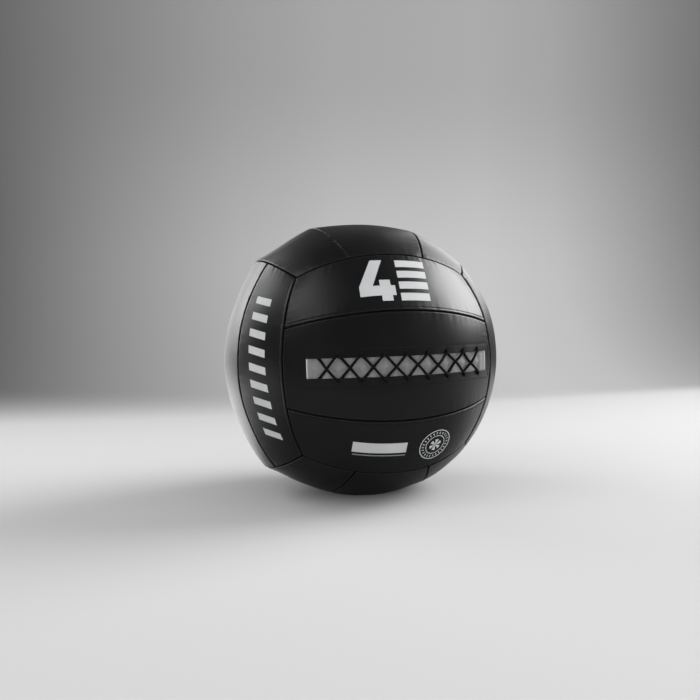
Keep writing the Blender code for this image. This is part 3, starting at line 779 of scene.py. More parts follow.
# %% [markdown]
# ## Threads and cord
# Sewing thread and the lace are twisted and braided yarn, matt and nearly black. Their slanting strands
# are a wave pattern on the UV map that every stitch and tube carries, stretched along it, so that the
# strands turn with the cord. The big ridges of the braid are modelled and not painted.

# %% Thread and lace
STRAND_STRETCH = (3.0, 1.0, 1.0)
STRAND_SHADE = 0.6
STRAND_DEPTH = 0.00006


def thread_finish(name, colour, roughness, gloss):
    """Twisted thread: fine slanting lines round the stitch, from the piece's own UV."""
    made, tree, shader, place = new_material(name, "UV")
    mapping = node_of(tree, "ShaderNodeMapping", Scale=STRAND_STRETCH)
    tree.links.new(place, mapping.inputs["Vector"])
    lines = texture(tree, "Wave", mapping.outputs["Vector"], Scale=1.0, Distortion=0.6).outputs["Fac"]
    darker = tuple(channel * STRAND_SHADE for channel in colour)
    set_colour(tree, shader, lines, [(0.2, darker), (0.8, colour)])
    shader.inputs["Roughness"].default_value = roughness
    shader.inputs["Specular IOR Level"].default_value = gloss
    bump(tree, shader, lines, STRAND_DEPTH)
    return made


SEAM_THREAD = thread_finish("seam_thread", (0.006, 0.006, 0.0065), roughness=0.8, gloss=0.05)
TOPSTITCH = thread_finish("topstitch_thread", (0.016, 0.016, 0.017), roughness=0.5, gloss=0.25)
LACE_CORD = thread_finish("lace_cord", (0.006, 0.006, 0.0065), roughness=0.8, gloss=0.1)
print("threads:", SEAM_THREAD.name, TOPSTITCH.name, LACE_CORD.name)

# %% [markdown]
# ## Cloth
# The tongue is a dull grey cloth with a paler folded hem at either end. The weave group gives both the
# relief of the threads and the small shade between them, which a plain grey would lack.

# %% Woven cloth
CLOTH_ROUGHNESS = 0.9
TONGUE_THREADS = 1300.0
WEAVE_DEPTH = 0.00012


def cloth_finish(name, dark, light, threads, coordinates="UV", depth=WEAVE_DEPTH):
    """Plain weave over the piece's own coordinates, with the colour shaded by the threads."""
    made, tree, shader, place = new_material(name, coordinates)
    weave = use_group(tree, WEAVE, place, Threads=threads)
    set_colour(tree, shader, weave["Shade"], [(0.15, dark), (0.75, light)])
    shader.inputs["Roughness"].default_value = CLOTH_ROUGHNESS
    bump(tree, shader, weave["Height"], depth)
    return made


TONGUE_CLOTH = cloth_finish("tongue_cloth", (0.11, 0.11, 0.113), (0.215, 0.215, 0.221), TONGUE_THREADS)
HEM_CLOTH = cloth_finish("tongue_hem_cloth", (0.39, 0.39, 0.40), (0.55, 0.55, 0.56), TONGUE_THREADS)
print("cloth:", TONGUE_CLOTH.name, HEM_CLOTH.name)

# %% [markdown]
# ## The print
# The marks are screen printed: a matt film of white ink so thin that the leather's grain shows through
# it. The same grain group, with less of its folds and a shallower bump, gives just that.

# %% Ink
INK_TONES = [(0.3, (0.38, 0.39, 0.395)), (0.7, (0.45, 0.46, 0.465))]
INK_ROUGHNESS = 0.5
INK_DEPTH = 0.00003


def print_ink():
    """White screen print: a matt film with faint uneven ink and the leather's grain under it."""
    made, tree, shader, place = new_material("print_ink")
    grain = use_group(tree, GRAIN, place, Scale=GRAIN_SCALE, Crease=0.1)
    set_colour(tree, shader, grain["Mottle"], INK_TONES)
    shader.inputs["Roughness"].default_value = INK_ROUGHNESS
    bump(tree, shader, grain["Height"], INK_DEPTH)
    return made


PRINT_INK = print_ink()
print("material:", PRINT_INK.name)

# %% [markdown]
# ## The pieces inside
# The facings, lining, filling, sack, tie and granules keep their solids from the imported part, because
# the leather hides them. They still get finishes of their own: a part that is opened should look right.

# %% Finishes of the pieces inside
FIBRE_TONES = [(0.3, (0.30, 0.28, 0.26)), (0.7, (0.62, 0.60, 0.56)), (0.9, (0.70, 0.69, 0.66))]
GRANULE_TONES = [(0.0, (0.06, 0.055, 0.05)), (1.0, (0.22, 0.21, 0.19))]


def loose_fibre():
    """Tangled textile fibre: stretched noise for the strands and blotches of colour."""
    made, tree, shader, place = new_material("filling_fibre")
    strands = texture(tree, "Noise", place, Scale=160.0, Detail=8.0, Roughness=0.7, Distortion=1.6)
    set_colour(tree, shader, strands.outputs["Fac"], FIBRE_TONES)
    shader.inputs["Roughness"].default_value = 0.95
    bump(tree, shader, strands.outputs["Fac"], 0.0015)
    return made


def packed_granules():
    """Heavy rubber granules: cells with rounded tops, each with its own grey."""
    made, tree, shader, place = new_material("core_granules")
    cells = texture(tree, "Voronoi", place, Scale=420.0)
    set_colour(tree, shader, cells.outputs["Color"], GRANULE_TONES)
    shader.inputs["Roughness"].default_value = 0.7
    bump(tree, shader, maths(tree, "SUBTRACT", 1.0, cells.outputs["Distance"]), 0.001)
    return made


def inner_cloth(name, dark, light, threads, depth=WEAVE_DEPTH):
    """Cloth of a carried-over solid, which has no UV map, so its weave is on Object coordinates."""
    return cloth_finish(name, dark, light, threads, "Object", depth)


FACING = inner_cloth("facing_cloth", (0.015, 0.015, 0.015), (0.05, 0.05, 0.05), 900.0)
LINING = inner_cloth("lining_cloth", (0.20, 0.19, 0.17), (0.36, 0.35, 0.32), 700.0)
CANVAS = inner_cloth("core_canvas", (0.30, 0.24, 0.17), (0.52, 0.45, 0.34), 500.0, depth=0.0003)
FIBRE = loose_fibre()
INSIDE = {
    "slot_facing_upper": FACING, "slot_facing_lower": FACING,
    "lining_front": LINING, "lining_back": LINING,
    "filling_upper": FIBRE, "filling_lower": FIBRE,
    "core_sack": CANVAS, "core_tie": CANVAS,
    "core_granules": packed_granules(),
}
for name, finish in INSIDE.items():
    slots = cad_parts[name].data.materials
    slots.clear()
    slots.append(finish)
print("pieces inside with a finish:", len(INSIDE))

# %% [markdown]
# ## The plain panels
# Seventeen of the eighteen panels are plain shells. Each is a padded piece, leather bonded to foam, and
# stretched so tightly over the filling that a cloth simulation would only find this same shape again,
# so the height formula shapes it directly. The bottom is pressed flat by the floor.

# %% Make a panel
FOAM_BACK = 0.0065
WORN_CREST, WORN_SPREAD, WORN_MOST = 0.0016, 0.0009, 0.3


def skin_points(directions, height):
    """Points on the skin, raised by a height, and never under the floor."""
    points = CENTRE + directions * (skin_radius(directions) + height)[..., None]
    points[..., 2] = np.maximum(points[..., 2], 0.0)
    return points


def wear(directions, face, strip):
    """Most on the crest of a rolled edge, falling away on both sides as a bell."""
    nearest = (seam_distances(directions, face, strip) / seam_openings(face, strip)).min(axis=-1)
    return np.exp(-((nearest - WORN_CREST) / WORN_SPREAD) ** 2) * WORN_MOST


def finish_panel(made, name):
    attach(made, BODY)
    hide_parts(name)


def plain_panel(face, strip):
    """Outer grid, the same grid at the back of the foam, and one wall round the border."""
    name = f"panel_{face}_{STRIP_NAMES[face][strip]}"
    directions = panel_grid(face, strip)
    columns, rows = directions.shape[:2]
    outer = skin_points(directions, panel_height(directions, face, strip))
    inner = skin_points(directions, np.full((columns, rows), -FOAM_BACK))
    points = np.concatenate([outer.reshape(-1, 3), inner.reshape(-1, 3)])
    made, used = mesh_object("leather_" + name, points, shell_faces(columns, rows), LEATHER)
    worn = np.concatenate([wear(directions, face, strip).ravel(), np.zeros(columns * rows)])
    add_attribute(made, "edge_wear", worn[used])
    finish_panel(made, name)
    return made


panels = []
for face in FACES:
    for strip in range(3):
        if (face, strip) != ("front", 1):
            panels.append(plain_panel(face, strip))
print("plain panels:", len(panels), "triangles:", sum(triangles(made) for made in panels))

# %% [markdown]
# ## The panel with the filling slot
# The front middle panel has a level slot with lips of bare leather: the foam is pared away behind them
# so that they lie thin over the tongue. Its grid has lines exactly on the edges of the slot and of the
# pared pocket. The slot's edges are level lines on the ball, which bend a little against the strip, so
# the rows are placed by height and not by angle.

# %% Slot sizes and points on the front
LEATHER_THICKNESS = 0.0014
SLOT_HALF = 0.0112
LIP_WIDTH = 0.0138
POCKET_HALF = SLOT_HALF + LIP_WIDTH
SLOT_LEFT = -FACE_HALF_ANGLE + 0.0280 / BALL_RADIUS
SLOT_RIGHT = FACE_HALF_ANGLE - 0.0120 / BALL_RADIUS
POCKET_MARGIN = 0.0080 / BALL_RADIUS
POCKET_LEFT, POCKET_RIGHT = SLOT_LEFT - POCKET_MARGIN, SLOT_RIGHT + POCKET_MARGIN
HOLE_HEIGHT = SLOT_HALF + 0.0040
HOLE_PAIRS = 9
HOLE_ANGLES = np.linspace(SLOT_LEFT + 0.0110 / BALL_RADIUS, SLOT_RIGHT - 0.0187 / BALL_RADIUS, HOLE_PAIRS)


def front_directions(angles, heights):
    """Direction by angle round the upright axis and by height: the lift is the arcsine of the height
    over the radius."""
    angles, lift = np.asarray(angles, float), np.arcsin(np.asarray(heights, float) / BALL_RADIUS)
    flat = np.cos(lift)
    return np.stack([np.sin(angles) * flat, -np.cos(angles) * flat, np.sin(lift)], axis=-1)


def front_points(angles, heights, lift):
    """Points over the skin of the front, by angle, height and lift."""
    directions = front_directions(angles, heights)
    return CENTRE + directions * (skin_radius(directions) + lift)[..., None]


def across_angle(angles, height):
    """Angle across the strip of a level line: arctangent of tan(lift) over cos(angle)."""
    return np.arctan(np.tan(np.arcsin(height / BALL_RADIUS)) / np.cos(angles))


slot_degrees = np.round(np.degrees([SLOT_LEFT, SLOT_RIGHT]), 1)
print("slot from", slot_degrees, "degrees,", 2 * SLOT_HALF * 1000, "mm high")

# %% [markdown]
# The grid is laid out like a tailor's marking: first the lines on the edges of slot and pocket, then
# close lines where a lip rolls over, and even ones in all the gaps.

# %% Grid of the slotted panel
LIP_LINES = np.array([0.0, 0.08, 0.25, 0.5, 0.8, 1.2]) * 0.001
SLOT_STEP = 0.0013
OPEN_STEP, OPEN_EDGE = 0.004, 0.0006
RIGHT_LINES_END = 0.0038
ROWS_BETWEEN = 15


def spaced(start, end, step):
    """Even values from the start to the end, both included."""
    return np.linspace(start, end, max(2, int(round((end - start) / step)) + 1))


def joined(parts):
    """Runs of values one after another, without the value that two runs share."""
    return np.concatenate([parts[0]] + [part[1:] for part in parts[1:]])


def slot_columns():
    """Angles along the panel: set distances at the seams, and lines on the pocket's and slot's ends."""
    step, edge, lip = SLOT_STEP / BALL_RADIUS, EDGE_LINES / BALL_RADIUS, LIP_LINES / BALL_RADIUS
    openings = seam_openings("front", 1)
    left = -FACE_HALF_ANGLE + edge * openings[0]
    right = FACE_HALF_ANGLE - (edge * openings[1])[EDGE_LINES * openings[1] < RIGHT_LINES_END][::-1]
    return joined([
        left,
        spaced(left[-1], POCKET_LEFT, step),
        spaced(POCKET_LEFT, SLOT_LEFT - lip[-1], step),
        SLOT_LEFT - lip[::-1],
        np.array([SLOT_LEFT, SLOT_LEFT + step]),
        spaced(SLOT_LEFT + step, SLOT_RIGHT - step, step),
        np.array([SLOT_RIGHT - step, SLOT_RIGHT]),
        SLOT_RIGHT + lip,
        spaced(SLOT_RIGHT + lip[-1], POCKET_RIGHT, step),
        np.array([POCKET_RIGHT, right[0]]),
        right])


def slot_rows(angles):
    """Angles across the panel for every column: seam lines, then lines set by height."""
    width = width_left(SEAM_ANGLE, np.tan(angles)[None])
    seam = SEAM_ANGLE - np.arcsin(EDGE_LINES[:, None] / BALL_RADIUS / width)
    heights = joined([
        spaced(0.0, SLOT_HALF - OPEN_EDGE, OPEN_STEP),
        np.array([SLOT_HALF - OPEN_EDGE, SLOT_HALF]),
        SLOT_HALF + LIP_LINES,
        spaced(SLOT_HALF + LIP_LINES[-1], POCKET_HALF, SLOT_STEP)])
    inner = across_angle(angles[None, :], heights[:, None])
    share = np.linspace(0, 1, ROWS_BETWEEN)[1:-1, None]
    between = inner[-1:] + (seam[-1:] - inner[-1:]) * share
    upper = np.concatenate([inner, between, seam[::-1]])
    return np.concatenate([-upper[:0:-1], upper]).T, heights


columns_at = slot_columns()
rows_at, lip_heights = slot_rows(columns_at)
print("slotted panel grid:", rows_at.shape)

# %% [markdown]
# The lace pulls on the lips, so each hole sits in a small dent, the slot's edges roll under, and the
# leather bulges a little between the holes. The box of stitches that holds the tongue's facings runs in
# a furrow round the slot.

# %% Height of the slotted panel
BOX_HEIGHT = 0.0203
BOX_MARGIN = 0.0055 / BALL_RADIUS
BOX_LEFT, BOX_RIGHT = SLOT_LEFT - BOX_MARGIN, SLOT_RIGHT + BOX_MARGIN
BOX_FURROW_HALF, BOX_FURROW_SHARE = 0.0007, 0.4
LIP_ROLL = 0.0007
DENT_DEPTH, DENT_REACH = 0.00045, 0.0030
SCALLOP_HEIGHT, SCALLOP_REACH = 0.00022, 0.004
LIP_CALM_SHARE, LIP_CALM_REACH = 0.7, 0.006


def lip_height(angles, heights):
    """Roll at the slot's edge, a dent at each hole, scallops between holes and the box of stitches."""
    beyond_end = np.maximum(SLOT_LEFT - angles, angles - SLOT_RIGHT) * BALL_RADIUS
    beyond_side = np.abs(heights) - SLOT_HALF
    from_slot = np.hypot(np.maximum(beyond_end, 0), np.maximum(beyond_side, 0))
    roll = quarter_circle(np.clip(from_slot / LIP_ROLL, 0.0, 1.0))
    apart = (angles[..., None] - HOLE_ANGLES) * BALL_RADIUS
    aside = np.abs(heights)[..., None] - HOLE_HEIGHT
    dent = np.exp(-(apart**2 + aside**2) / DENT_REACH**2)[..., 1:].sum(-1)
    pitch = HOLE_ANGLES[1] - HOLE_ANGLES[0]
    inside = smooth_share(angles, SLOT_LEFT, HOLE_ANGLES[0])
    inside = inside * (1 - smooth_share(angles, HOLE_ANGLES[-1], SLOT_RIGHT))
    scallop = -np.cos(2 * np.pi * (angles - HOLE_ANGLES[0]) / pitch) * inside
    scallop = scallop * np.exp(-from_slot / SCALLOP_REACH)
    side_furrow = np.exp(-((np.abs(heights) - BOX_HEIGHT) / BOX_FURROW_HALF) ** 2)
    side_furrow = side_furrow * ((angles > BOX_LEFT) & (angles < BOX_RIGHT))
    nearest_end = np.minimum(np.abs(angles - BOX_LEFT), np.abs(angles - BOX_RIGHT)) * BALL_RADIUS
    end_furrow = np.exp(-(nearest_end / BOX_FURROW_HALF) ** 2) * (np.abs(heights) < BOX_HEIGHT)
    furrow = BOX_FURROW_SHARE * FURROW_DEPTH * np.maximum(side_furrow, end_furrow)
    return SCALLOP_HEIGHT * scallop - DENT_DEPTH * dent - furrow, roll


def slotted_height(directions):
    """The plain panel's height, with the lips' own height added and rolled down into the slot."""
    angles = np.arctan2(directions[..., 0], -directions[..., 1])
    heights = BALL_RADIUS * directions[..., 2]
    lips, roll = lip_height(angles, heights)
    base = panel_height(directions, "front", 1)
    near = np.exp(-np.maximum(np.abs(heights) - SLOT_HALF, 0.0) / LIP_CALM_REACH)
    calmer = base * (1 - LIP_CALM_SHARE * near) + lips
    return np.where(roll < 1, calmer * roll - LIP_ROLL * (1 - roll), calmer)


slot_directions = face_directions("front", np.broadcast_to(columns_at[:, None], rows_at.shape), rows_at)
slot_skin = slotted_height(slot_directions)
print("slotted panel height, mm:", np.round([slot_skin.min() * 1e3, slot_skin.max() * 1e3], 2))

# %% [markdown]
# This shell has three layers: the skin, the underside of the bare lips, and the back of the foam. Each
# is the same grid at its own depth with its own cells left out, so their edges meet point for point and
# the walls between them close it.

# %% Close the slotted panel
def line_index(values, target):
    """Which grid line lies on the given value."""
    return int(np.abs(values - target).argmin())


def grid_box(left, right, half_height):
    """First column and row, and last column and row, of a level box round the panel's middle."""
    middle = (rows_at.shape[1] - 1) // 2
    reach = line_index(lip_heights, half_height)
    return line_index(columns_at, left), middle - reach, line_index(columns_at, right), middle + reach


def slotted_panel():
    """Three layers: the skin without the slot, the underside of the lips, and the foam's back without
    the pocket, with a wall round the border, one in the slot and one round the pocket."""
    columns, rows = rows_at.shape
    count = columns * rows
    slot_box = grid_box(SLOT_LEFT, SLOT_RIGHT, SLOT_HALF)
    pocket_box = grid_box(POCKET_LEFT, POCKET_RIGHT, POCKET_HALF)

    def inside(box):
        mask = np.zeros((columns - 1, rows - 1), bool)
        mask[box[0]:box[2], box[1]:box[3]] = True
        return mask

    depths = (slot_skin, np.full(rows_at.shape, -LEATHER_THICKNESS), np.full(rows_at.shape, -FOAM_BACK))
    points = np.concatenate([skin_points(slot_directions, depth).reshape(-1, 3) for depth in depths])
    border, slot_loop, pocket_loop = (rectangle(columns, rows, box) for box in (None, slot_box, pocket_box))
    faces = np.concatenate([
        grid_faces(columns, rows, ~inside(slot_box)),
        grid_faces(columns, rows, inside(pocket_box) & ~inside(slot_box), flip=True) + count,
        grid_faces(columns, rows, ~inside(pocket_box), flip=True) + 2 * count,
        walls(border, border + 2 * count),
        walls(slot_loop + count, slot_loop),
        walls(pocket_loop + 2 * count, pocket_loop + count)])
    made, used = mesh_object("leather_panel_front_middle", points, faces, LEATHER)
    worn = np.tile(wear(slot_directions, "front", 1).ravel(), 3)
    worn[count:] = 0
    add_attribute(made, "edge_wear", worn[used])
    return made


front_middle = slotted_panel()
print("slotted panel triangles:", triangles(front_middle))

# %% [markdown]
# The lace holes are punched through the finished lips. A Boolean with sixteen short rods does it, as
# a punch would, because the holes don't follow the grid. At its left end the lace turns round under
# the lips, so the first pair of places has no hole.

# %% Punch the lace holes
LACE_RADIUS = 0.0013
HOLE_RADIUS = LACE_RADIUS + 0.0005
PUNCH_SIDES, PUNCH_LENGTH = 20, 0.006


def punch_rods():
    """One short rod, square to the leather, at every place of the lace but the first pair."""
    shape = bmesh.new()
    for angle in HOLE_ANGLES[1:]:
        for side in (-1, 1):
            middle = Vector(front_points(angle, side * HOLE_HEIGHT, -LEATHER_THICKNESS / 2))
            turn = (middle - Vector(CENTRE)).to_track_quat("Z", "Y").to_matrix().to_4x4()
            bmesh.ops.create_cone(shape, cap_ends=True, segments=PUNCH_SIDES, radius1=HOLE_RADIUS,
                                  radius2=HOLE_RADIUS, depth=PUNCH_LENGTH,
                                  matrix=Matrix.Translation(middle) @ turn)
    mesh = bpy.data.meshes.new("hole_punch")
    shape.to_mesh(mesh)
    shape.free()
    return place_object("hole_punch", mesh)


def punch(panel, rods):
    """Cuts the rods out of the panel, and keeps the cut mesh without the modifier."""
    step = panel.modifiers.new("punch", "BOOLEAN")
    step.operation = "DIFFERENCE"
    step.solver = "EXACT"
    step.object = rods
    shown = panel.evaluated_get(bpy.context.evaluated_depsgraph_get())
    cut = bpy.data.meshes.new_from_object(shown)
    panel.modifiers.clear()
    panel.data = cut
    bpy.data.objects.remove(rods)
    cut.shade_smooth()


punch(front_middle, punch_rods())
finish_panel(front_middle, "panel_front_middle")
for made in [front_middle, *panels]:
    made.data.set_sharp_from_angle(angle=SHARP_ANGLE)
print("after punching:", triangles(front_middle), "triangles")

# %% [markdown]
# ## A tube along a path
# Threads and lace are both cords, so one helper makes any of them: a ring of points carried along a
# path. A Blender curve with a bevel would be quicker, but then no ridge could run round the cord, and
# the rings here may be of any radius at any point.

# %% A tube along a path
UV_PER_METRE = 100


def path_steps(path):
    """Length along the path up to each of its points."""
    return np.concatenate([[0], np.cumsum(np.linalg.norm(np.diff(path, axis=0), axis=1))])


def path_places(path, steps, places):
    """Values of the path at the given lengths along it, between its points in proportion."""
    return np.stack([np.interp(places, steps, path[:, k]) for k in range(3)], axis=-1)


def tube(name, path, up, radius, sides, finish):
    """Closed tube: at each point of the path a ring of the given radius, with end caps.

    The side is square to the path and the outward way, and the normal is square to the path and the
    side. A ring is the cosine of its turn times the side plus the sine times the normal. The radius is
    one number for each ring, or one for each point of each ring.
    """
    tangent = unit(np.gradient(path, axis=0))
    side = unit(np.cross(tangent, up))
    normal = np.cross(side, tangent)
    turn = np.linspace(0, 2 * np.pi, sides, endpoint=False)
    radius = radius if radius.ndim == 2 else radius[:, None]
    rings = np.cos(turn)[:, None] * side[:, None] + np.sin(turn)[:, None] * normal[:, None]
    rings = path[:, None] + radius[..., None] * rings
    index = np.arange(len(path) * sides).reshape(len(path), sides)
    after = np.roll(index, -1, axis=1)
    faces = np.stack([index[:-1], after[:-1], after[1:], index[1:]], axis=-1).reshape(-1, 4)
    made, _ = mesh_object(name, rings.reshape(-1, 3), faces, finish)
    face_outwards(made.data, caps=[index[0][::-1], index[-1]])
    along = path_steps(path)[:, None] * UV_PER_METRE
    values = np.stack(np.broadcast_arrays(np.linspace(0, 1, sides)[None], along), axis=-1)
    add_uv(made, values.reshape(-1, 2), index.ravel())
    made.data.shade_smooth()
    return made


print("tube helper ready,", UV_PER_METRE, "turns of the pattern a metre")

# %% [markdown]
# ## Seam threads
# Deep in each groove runs the thread that holds two panels together. It shows as a row of small
# stitches, so it is a tube whose radius swells and narrows along the seam, like a string of grains.
# Where a seam opens wider or less than the others, its thread is thicker or thinner by the same share.

# %% Stitches in the grooves
SEAM_PITCH = 0.0042
THREAD_RADIUS = 0.00080
THREAD_DEPTH = 0.0024
THREAD_SIDES = 6
THREAD_LEAST, THREAD_SWELL, SWELL_POWER = 0.35, 0.65, 0.6
THREAD_OPENINGS = {"thread_left_front_middle": WIDER, "thread_front_right": WIDEST,
                   "thread_top_right_middle": WIDE, "thread_top_left_middle": NARROW}
SEAM_END_ANGLE, SEAM_POINTS = 0.009, 460


def seam_thread_piece(name, directions):
    """Path in the groove at a set depth; radius = thin, plus a half sine over each stitch."""
    path = CENTRE + directions * (skin_radius(directions) + heel_rise(directions) - THREAD_DEPTH)[:, None]
    path[:, 2] = np.maximum(path[:, 2], THREAD_RADIUS)
    grain = np.abs(np.sin(np.pi * path_steps(path) / SEAM_PITCH)) ** SWELL_POWER
    radius = THREAD_RADIUS * THREAD_OPENINGS.get(name, 1.0)
    radius = radius * (THREAD_LEAST + THREAD_SWELL * grain)
    made = tube(name, path, directions, radius, THREAD_SIDES, SEAM_THREAD)
    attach(made, BODY)
    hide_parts(name)
    made.name = "stitched_" + name
    return made


def seam_directions():
    """Directions along all twenty-four seams, by the name of the thread in each."""
    angles = np.linspace(-FACE_HALF_ANGLE + SEAM_END_ANGLE, FACE_HALF_ANGLE - SEAM_END_ANGLE, SEAM_POINTS)
    found = {}
    names = list(FACES)
    for face in names:
        first, _, last = STRIP_NAMES[face]
        for side, neighbour in ((-1, first), (1, last)):
            rows = np.full(len(angles), side * SEAM_ANGLE)
            found[f"thread_{face}_{neighbour}_middle"] = face_directions(face, angles, rows)
    for i, first in enumerate(names):
        for second in names[i + 1:]:
            look_a, look_b = (np.array(FACES[face][0], float) for face in (first, second))
            if look_a @ look_b == 0:
                run = np.cross(look_a, look_b)
                found[f"thread_{first}_{second}"] = unit(look_a + look_b + np.tan(angles)[:, None] * run)
    return found


threads = [seam_thread_piece(name, directions) for name, directions in seam_directions().items()]
print("seam threads:", len(threads), "triangles:", sum(triangles(made) for made in threads))

# %% [markdown]
# ## Topstitching
# Beside the felled seams and round the slot runs a row of single stitches. Each is a short rounded
# grain that dips into the leather at both ends. One small grain is worked out as an array and set along
# the row at every stitch with one multiplication of arrays.

# %% One row of stitches
STITCH_LENGTH = 0.0027
STITCH_PITCH = 0.0035
STITCH_RADIUS = 0.00036
GRAIN_RINGS, GRAIN_SIDES = 5, 6
GRAIN_START, GRAIN_SPAN = 0.12, 0.76
GRAIN_LEVEL, GRAIN_RISE = 0.75, 1.6


def stitch_row(path, up):
    """Points and faces of a row of stitches.

    A stitch is a ring of points at each step of its length; its radius follows a half sine and its
    height over the leather follows a half sine too, so both ends sink in.
    """
    steps = path_steps(path)
    starts = np.arange(STITCH_PITCH / 2, steps[-1] - STITCH_LENGTH, STITCH_PITCH)
    share = np.linspace(0, 1, GRAIN_RINGS)
    places = starts[:, None] + share * STITCH_LENGTH
    middle, normal = path_places(path, steps, places), unit(path_places(up, steps, places))
    side = np.cross(unit(np.gradient(middle, axis=1)), normal)
    swell = np.sin(np.pi * (GRAIN_START + GRAIN_SPAN * share))
    turn = np.linspace(0, 2 * np.pi, GRAIN_SIDES, endpoint=False)
    ring = np.cos(turn)[:, None] * side[:, :, None] + np.sin(turn)[:, None] * normal[:, :, None]
    lifted = middle + normal * ((swell - GRAIN_LEVEL) * STITCH_RADIUS * GRAIN_RISE)[:, None]
    points = lifted[:, :, None] + ring * (swell * STITCH_RADIUS)[:, None, None]
    index = np.arange(GRAIN_RINGS * GRAIN_SIDES).reshape(GRAIN_RINGS, GRAIN_SIDES)
    after = np.roll(index, -1, axis=1)
    body = np.stack([index[:-1], index[1:], after[1:], after[:-1]], axis=-1).reshape(-1, 4)
    ends = np.array([[0, 1, 2, 3], [0, 3, 4, 5]])
    caps = np.concatenate([ends, ends[:, ::-1] + (GRAIN_RINGS - 1) * GRAIN_SIDES])
    one = np.concatenate([body, caps])
    faces = (one[None] + np.arange(len(starts))[:, None, None] * index.size).reshape(-1, 4)
    return points.reshape(-1, 3), faces


def stitched_piece(name, rows):
    """One piece from several rows of stitches, each given as a path and its outward ways. Every stitch
    has the same UV: the share of the turn round it and the share of its length."""
    points, faces, count = [], [], 0
    for path, up in rows:
        row_points, row_faces = stitch_row(path, up)
        points.append(row_points)
        faces.append(row_faces + count)
        count += len(row_points)
    made, used = mesh_object(name, np.concatenate(points), np.concatenate(faces), TOPSTITCH)
    grain = np.arange(GRAIN_RINGS * GRAIN_SIDES)
    uv = np.stack([grain % GRAIN_SIDES / GRAIN_SIDES, grain // GRAIN_SIDES / GRAIN_RINGS], axis=1)
    add_uv(made, np.tile(uv, (count // len(grain), 1)), used)
    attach(made, BODY)
    return made


print("points in a stitch:", GRAIN_RINGS * GRAIN_SIDES)

# %% [markdown]
# The needle keeps a set distance from the seam, so the path of a row is the seam's own formula with
# that distance put in, lifted to the height of the leather there.

# %% Rows beside the felled seams
ROW_POINTS, ROW_SPARED = 240, 3
STITCH_LIFT = STITCH_RADIUS * 0.9


def felled_row(face, strip, k):
    """Path of the stitches at their set distance from seam k of a panel."""
    along = np.linspace(-FACE_HALF_ANGLE, FACE_HALF_ANGLE, ROW_POINTS)[ROW_SPARED:-ROW_SPARED]
    seam, sign = STRIP_BOUNDS[strip + k - 2], 1 if k == 2 else -1
    across = seam + sign * np.arcsin(STITCH_LINE / (BALL_RADIUS * width_left(seam, np.tan(along))))
    directions = face_directions(face, along, across)
    return skin_points(directions, panel_height(directions, face, strip) + STITCH_LIFT), directions


felled_stitches = []
for face in ("front", "back", "left", "right"):
    for strip in (0, 2):
        found = [felled_row(face, strip, k) for k in (2, 3) if felled(face, strip)[k]]
        felled_stitches.append(stitched_piece(f"topstitch_{face}_{STRIP_NAMES[face][strip]}", found))
print("topstitched panels:", len(felled_stitches), "triangles:", sum(map(triangles, felled_stitches)))

# %% [markdown]
# A box of the same stitches runs round the slot. It sews down the facings that hold the tongue behind
# the lips.

# %% The box of stitches round the slot
LEVEL_POINTS, UPRIGHT_POINTS = 300, 60


def slot_box_rows():
    """Four paths: level rows under and over the slot, and short upright rows at its ends."""
    angles = np.linspace(BOX_LEFT, BOX_RIGHT, LEVEL_POINTS)
    heights = np.linspace(-BOX_HEIGHT, BOX_HEIGHT, UPRIGHT_POINTS)
    found = [front_directions(angles, np.full(LEVEL_POINTS, side * BOX_HEIGHT)) for side in (-1, 1)]
    found += [front_directions(np.full(UPRIGHT_POINTS, angle), heights) for angle in (BOX_LEFT, BOX_RIGHT)]
    return [(skin_points(directions, slotted_height(directions) + STITCH_LIFT), directions)
            for directions in found]


slot_stitches = stitched_piece("topstitch_slot", slot_box_rows())
print("slot stitches:", triangles(slot_stitches), "triangles")

# %% [markdown]
# ## The lace
# One cord of 2.6 mm is whipped through both lips and crosses itself eight times. Its path is written
# the way a hand would lace it: over the slot, down through a hole, back under the lip and over again,
# with the two strands joined by a loop behind the left end. At each crossing one strand humps over the
# other.

# %% The route of the lace
CLEARANCE = 0.0003
LACE_OVER = CLEARANCE + LACE_RADIUS
LACE_UNDER = -(LEATHER_THICKNESS + CLEARANCE + LACE_RADIUS)
LACE_MIDDLE, WHIP_RADIUS = (LACE_OVER + LACE_UNDER) / 2, (LACE_OVER - LACE_UNDER) / 2
LACE_SPREAD = 0.0034 / BALL_RADIUS
LACE_LEAN = 0.0010 / BALL_RADIUS
LACE_BUMP = LACE_RADIUS + 0.0005
LOOP_REACH = 0.0170 / BALL_RADIUS
TAIL_LENGTH = 0.012
LEG_STEPS, TURN_POINTS, LOOP_POINTS = 6, 5, 15


def lace_leg(start, end, side, bump):
    """One leg over the slot: straight in angle and height, easing from under a lip to over the other,
    with a hump of a sine squared."""
    share = np.arange(LEG_STEPS) / LEG_STEPS
    angles = start + LACE_SPREAD + (end - start - 2 * LACE_SPREAD) * share
    rise = LACE_UNDER + (LACE_OVER - LACE_UNDER) * smooth_share(share, 0, 1)
    rise = rise + bump * np.sin(np.pi * share) ** 2
    return np.stack([angles, side * SLOT_HALF * (1 - 2 * share), rise], axis=1)


def lace_turn(angle, side):
    """Half a circle from over the lip, down through the hole, to under the lip."""
    turn = np.linspace(math.pi / 2, -math.pi / 2, TURN_POINTS)
    angles = angle - LACE_LEAN * np.sin(turn)
    heights = side * (HOLE_HEIGHT - WHIP_RADIUS + WHIP_RADIUS * np.cos(turn))
    rows = np.stack([angles, heights, LACE_MIDDLE + WHIP_RADIUS * np.sin(turn)], axis=1)
    return np.concatenate([[(angle - LACE_SPREAD, side * SLOT_HALF, LACE_OVER)], rows])


